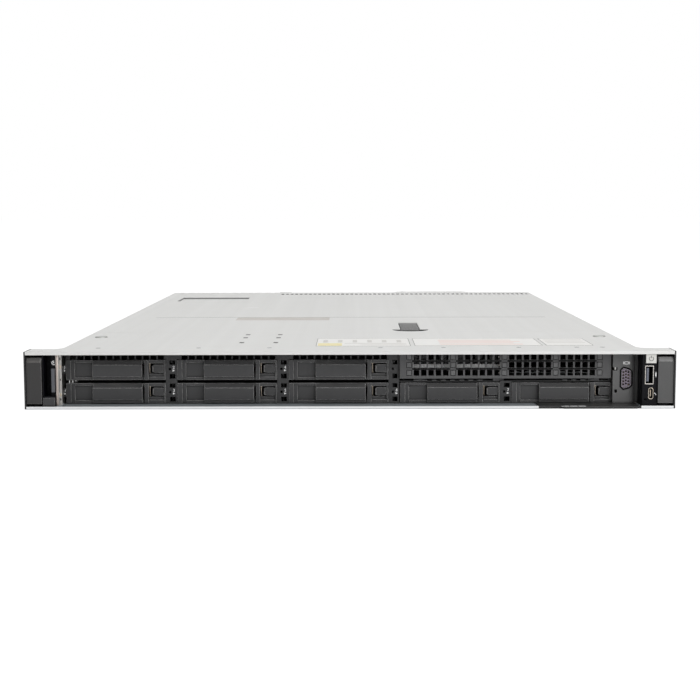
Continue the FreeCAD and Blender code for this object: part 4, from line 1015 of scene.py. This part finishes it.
# ---- sides and rear ----
def wall_rivets():
    """Clinch rivets along both side walls."""
    wall = Span("rear_wall").x1 + 1.2
    for side, name in ((-1.0, "wall_rivets_left"), (1.0, "wall_rivets_right")):
        rivets = Shape()
        for k in range(9):
            for z in (7.0, 36.4):
                rivets.turned((150.0 + 60.0 * k, z), [(2.1, side * wall), (2.0, side * (wall + 0.35)),
                                                      (1.2, side * (wall + 0.55))], "X", 14)
        rivets.become(name, "galvanised_sheet", FINISHES["screw_metal"])


def inlet(middle, wall, cut):
    """Outline of a mains inlet with two cut corners, set in by a wall."""
    wide, narrow = 8.5 - wall, 4.15 - cut
    return [(middle - wide, 13.05 + cut), (middle - narrow, 8.7 + wall), (middle + narrow, 8.7 + wall),
            (middle + wide, 13.05 + cut), (middle + wide, 35.5 - wall), (middle - wide, 35.5 - wall)]


def supply_details():
    """Inlet lining, status lens, handle grip ribs and tab ribs of each power supply."""
    for number in (1, 2):
        case = Span("power_supply_%d" % number)
        x, back = case.x0, case.y1
        outline, inner = inlet(x + 11.2, 0.0, 0.0), inlet(x + 11.2, 0.9, 0.35)
        body = "power_supply_%d" % number
        Shape().ring(outline, inner, back - 14.6, back + 0.5).black("inlet_lining_%d" % number, 0.15, body)
        Shape().prism(inner, back - 14.8, back - 14.4).black("inlet_back_%d" % number, body=body)
        Shape().turned((x + 51.0, 37.6), [(1.3, back), (1.3, back + 0.4), (0.8, back + 0.7)]).become(
            "supply_lamp_%d" % number, "light_bar", GREEN_LENS, body=body)
        handle = Span("supply_handle_%d" % number)
        ribs = Shape()
        for k in range(7):
            z = 12.5 + 2.8 * k
            ribs.block(handle.x0 - 0.25, handle.x1 + 0.25, handle.y1 - 3.9, handle.y1 - 0.6, z, z + 1.3)
        ribs.become("handle_ribs_%d" % number, "black_moulding", FINISHES["black_moulding"], 0.2, body=body)
        tab = Span("supply_latch_%d" % number)
        grip = Shape()
        for k in range(5):
            z = tab.z0 + 2.2 + 2.9 * k
            grip.block(tab.x0 + 0.3, tab.x1 - 0.3, tab.y1 - 0.2, tab.y1 + 0.35, z, z + 1.2)
        grip.become("tab_ribs_%d" % number, "release_moulding", FINISHES["release_moulding"], 0.15,
                    "supply_latch_%d" % number)


def network_details():
    """Contacts, lining and lamps of the three network sockets."""
    back = Span("rear_wall").y1
    pins, lining, green, amber = Shape(), Shape(), Shape(), Shape()
    for left in (-84.0, -66.0, 13.0):
        lining.block(left + 2.2, left + 13.8, back - 10.9, back - 10.4, 10.5, 17.5)
        for k in range(8):
            x = left + 3.9 + 1.1 * k
            pins.block(x, x + 0.4, back - 10.3, back - 2.0, 15.6, 16.0)
        green.block(left + 2.6, left + 5.0, back + 0.95, back + 1.2, 18.6, 20.4)
        amber.block(left + 11.0, left + 13.4, back + 0.95, back + 1.2, 18.6, 20.4)
    pins.become("network_contacts", "connector_metal", GOLD_CONTACTS)
    lining.black("network_backs")
    green.become("network_lamps_green", "light_bar", GREEN_LENS, 0.15)
    amber.become("network_lamps_amber", "light_bar", AMBER_LENS, 0.15)


def rear_display_details():
    """Blue face, contact holes and hexagon nuts of the rear display connector, and USB tongues."""
    back = Span("rear_wall").y1
    left = -24.0
    x0, x1 = left + 6.9, left + 23.1
    outline = [(x0, 18.0), (x0 + 1.3, 11.5), (x1 - 1.3, 11.5), (x1, 18.0)]
    Shape().prism(outline, back + 4.9, back + 5.1).become("rear_display_face", "light_bar", REAR_BLUE)
    holes = Shape()
    for row in range(3):
        for k in range(5):
            x = left + 10.2 + 2.3 * k + (0.5 if row == 1 else 0.0)
            holes.turned((x, 12.9 + 1.9 * row), [(0.42, back + 5.0), (0.42, back + 5.16)], sides=10)
    holes.black("rear_display_holes")
    nuts = Shape()
    for x in (left + 3.4, left + 26.6):
        nuts.ring(circle(x, 14.7, 2.7, 6), circle(x, 14.7, 1.2, 6), back - 1.1, back + 3.6)
    nuts.become("display_nuts", "screw_metal", FINISHES["screw_metal"], 0.2)
    tongues = Shape()
    for z in (8.8, 16.4):
        tongues.block(-44.0 + 1.3, -44.0 + 12.7, back - 9.8, back - 0.5, z + 2.95, z + 4.85)
    tongues.become("rear_usb_tongues", "light_bar", REAR_BLUE, 0.1)


# ---- camera, light and floor ----
CAMERA_DISTANCE = 1006.0
CAMERA_HEIGHT = 150.9
CAMERA_ASIDE = 3.6
CAMERA_PITCH = 6.07
CAMERA_YAW = 0.187
CAMERA_ROLL = -0.126
LENS = 70.53


def make_camera():
    data = bpy.data.cameras.new("camera")
    data.lens = LENS
    data.sensor_width = 36.0
    data.clip_start = 0.05
    data.clip_end = 50.0
    camera = add_object("camera", data)
    aim = (Matrix.Rotation(math.radians(CAMERA_YAW), 4, "Z")
           @ Matrix.Rotation(math.radians(90.0 - CAMERA_PITCH), 4, "X")
           @ Matrix.Rotation(math.radians(CAMERA_ROLL), 4, "Z"))
    camera.matrix_world = Matrix.Translation(at(CAMERA_ASIDE, -CAMERA_DISTANCE, CAMERA_HEIGHT)) @ aim
    bpy.context.scene.camera = camera


def soft_light(name, place, target, width, height, power):
    data = bpy.data.lights.new(name, "AREA")
    data.shape = "RECTANGLE"
    data.size = width
    data.size_y = height
    data.energy = power
    lamp = add_object(name, data)
    lamp.location = place
    lamp.rotation_euler = (Vector(target) - Vector(place)).to_track_quat("-Z", "Y").to_euler()


WORLD_LEVEL = 0.41


def make_lights():
    soft_light("overhead", (0.0, 0.1, 1.7), (0.0, 0.05, 0.0), 2.2, 2.0, 14.0)
    soft_light("back_sweep", (0.0, 2.3, 0.55), (0.0, 0.2, 0.0), 2.6, 0.7, 5.5)
    soft_light("front_fill", (-0.2, -1.9, 1.2), (0.0, -0.35, 0.0), 1.2, 0.7, 3.4)
    soft_light("right_key", (1.05, -1.6, 0.70), (0.1, -0.35, 0.0), 1.7, 1.3, 18.0)
    world = bpy.data.worlds.new("studio")
    bpy.context.scene.world = world
    world.use_nodes = True
    world.node_tree.nodes["Background"].inputs["Color"].default_value = (1.0, 1.0, 1.0, 1.0)
    t = Tree(world.node_tree)
    rays = t.node("LightPath")
    seen = t.math("MAXIMUM", rays.outputs["Is Camera Ray"], rays.outputs["Is Transmission Ray"])
    t.link(t.remap(seen, 0.0, 1.0, WORLD_LEVEL, 1.0), world.node_tree.nodes["Background"].inputs["Strength"])


FLOOR_GLOW = 1.11
FLOOR_GLOW_SHARE = 0.86  # the rest of the floor shows the shadow


def floor_finish():
    """White studio floor: reads as the white backdrop, and still keeps a soft shadow."""
    material, t, shader = start_material("studio_floor")
    dial(shader, Base_Color=(0.90, 0.90, 0.90, 1.0), Roughness=0.9, Specular_IOR_Level=0.0)
    glow = dial(t.node("Emission"), Strength=FLOOR_GLOW)
    mix = t.node("MixShader")
    rays = t.node("LightPath")
    t.link(t.math("MULTIPLY", rays.outputs["Is Camera Ray"], FLOOR_GLOW_SHARE), mix.inputs[0])
    t.link(shader.outputs[0], mix.inputs[1])
    t.link(glow.outputs[0], mix.inputs[2])
    t.link(mix.outputs[0], material.node_tree.nodes["Material Output"].inputs["Surface"])
    return material


def make_floor():
    mesh = bpy.data.meshes.new("floor")
    reach = 12.0
    mesh.from_pydata([(-reach, -reach, 0), (reach, -reach, 0), (reach, reach, 0), (-reach, reach, 0)], [],
                     [(0, 1, 2, 3)])
    mesh.materials.append(floor_finish())
    floor = add_object("floor", mesh)
    floor.location.z = cad_box[0][2] - 0.0002


def finish_scene():
    scene = bpy.context.scene
    scene.view_settings.view_transform = "Standard"


dress_frame()
bay_digits()
number_strip()
strip_details()
blank_springs()
bay_backing()
blind_pads()
plate_tabs()
display_socket()
usb_socket()
service_socket()
panel_marks()
latch_details()
tag_label()
top_labels()
panel_studs()
cover_strip()
cover_linings()
paddle_details()
wall_rivets()
supply_details()
network_details()
rear_display_details()
make_camera()
make_lights()
make_floor()
finish_scene()
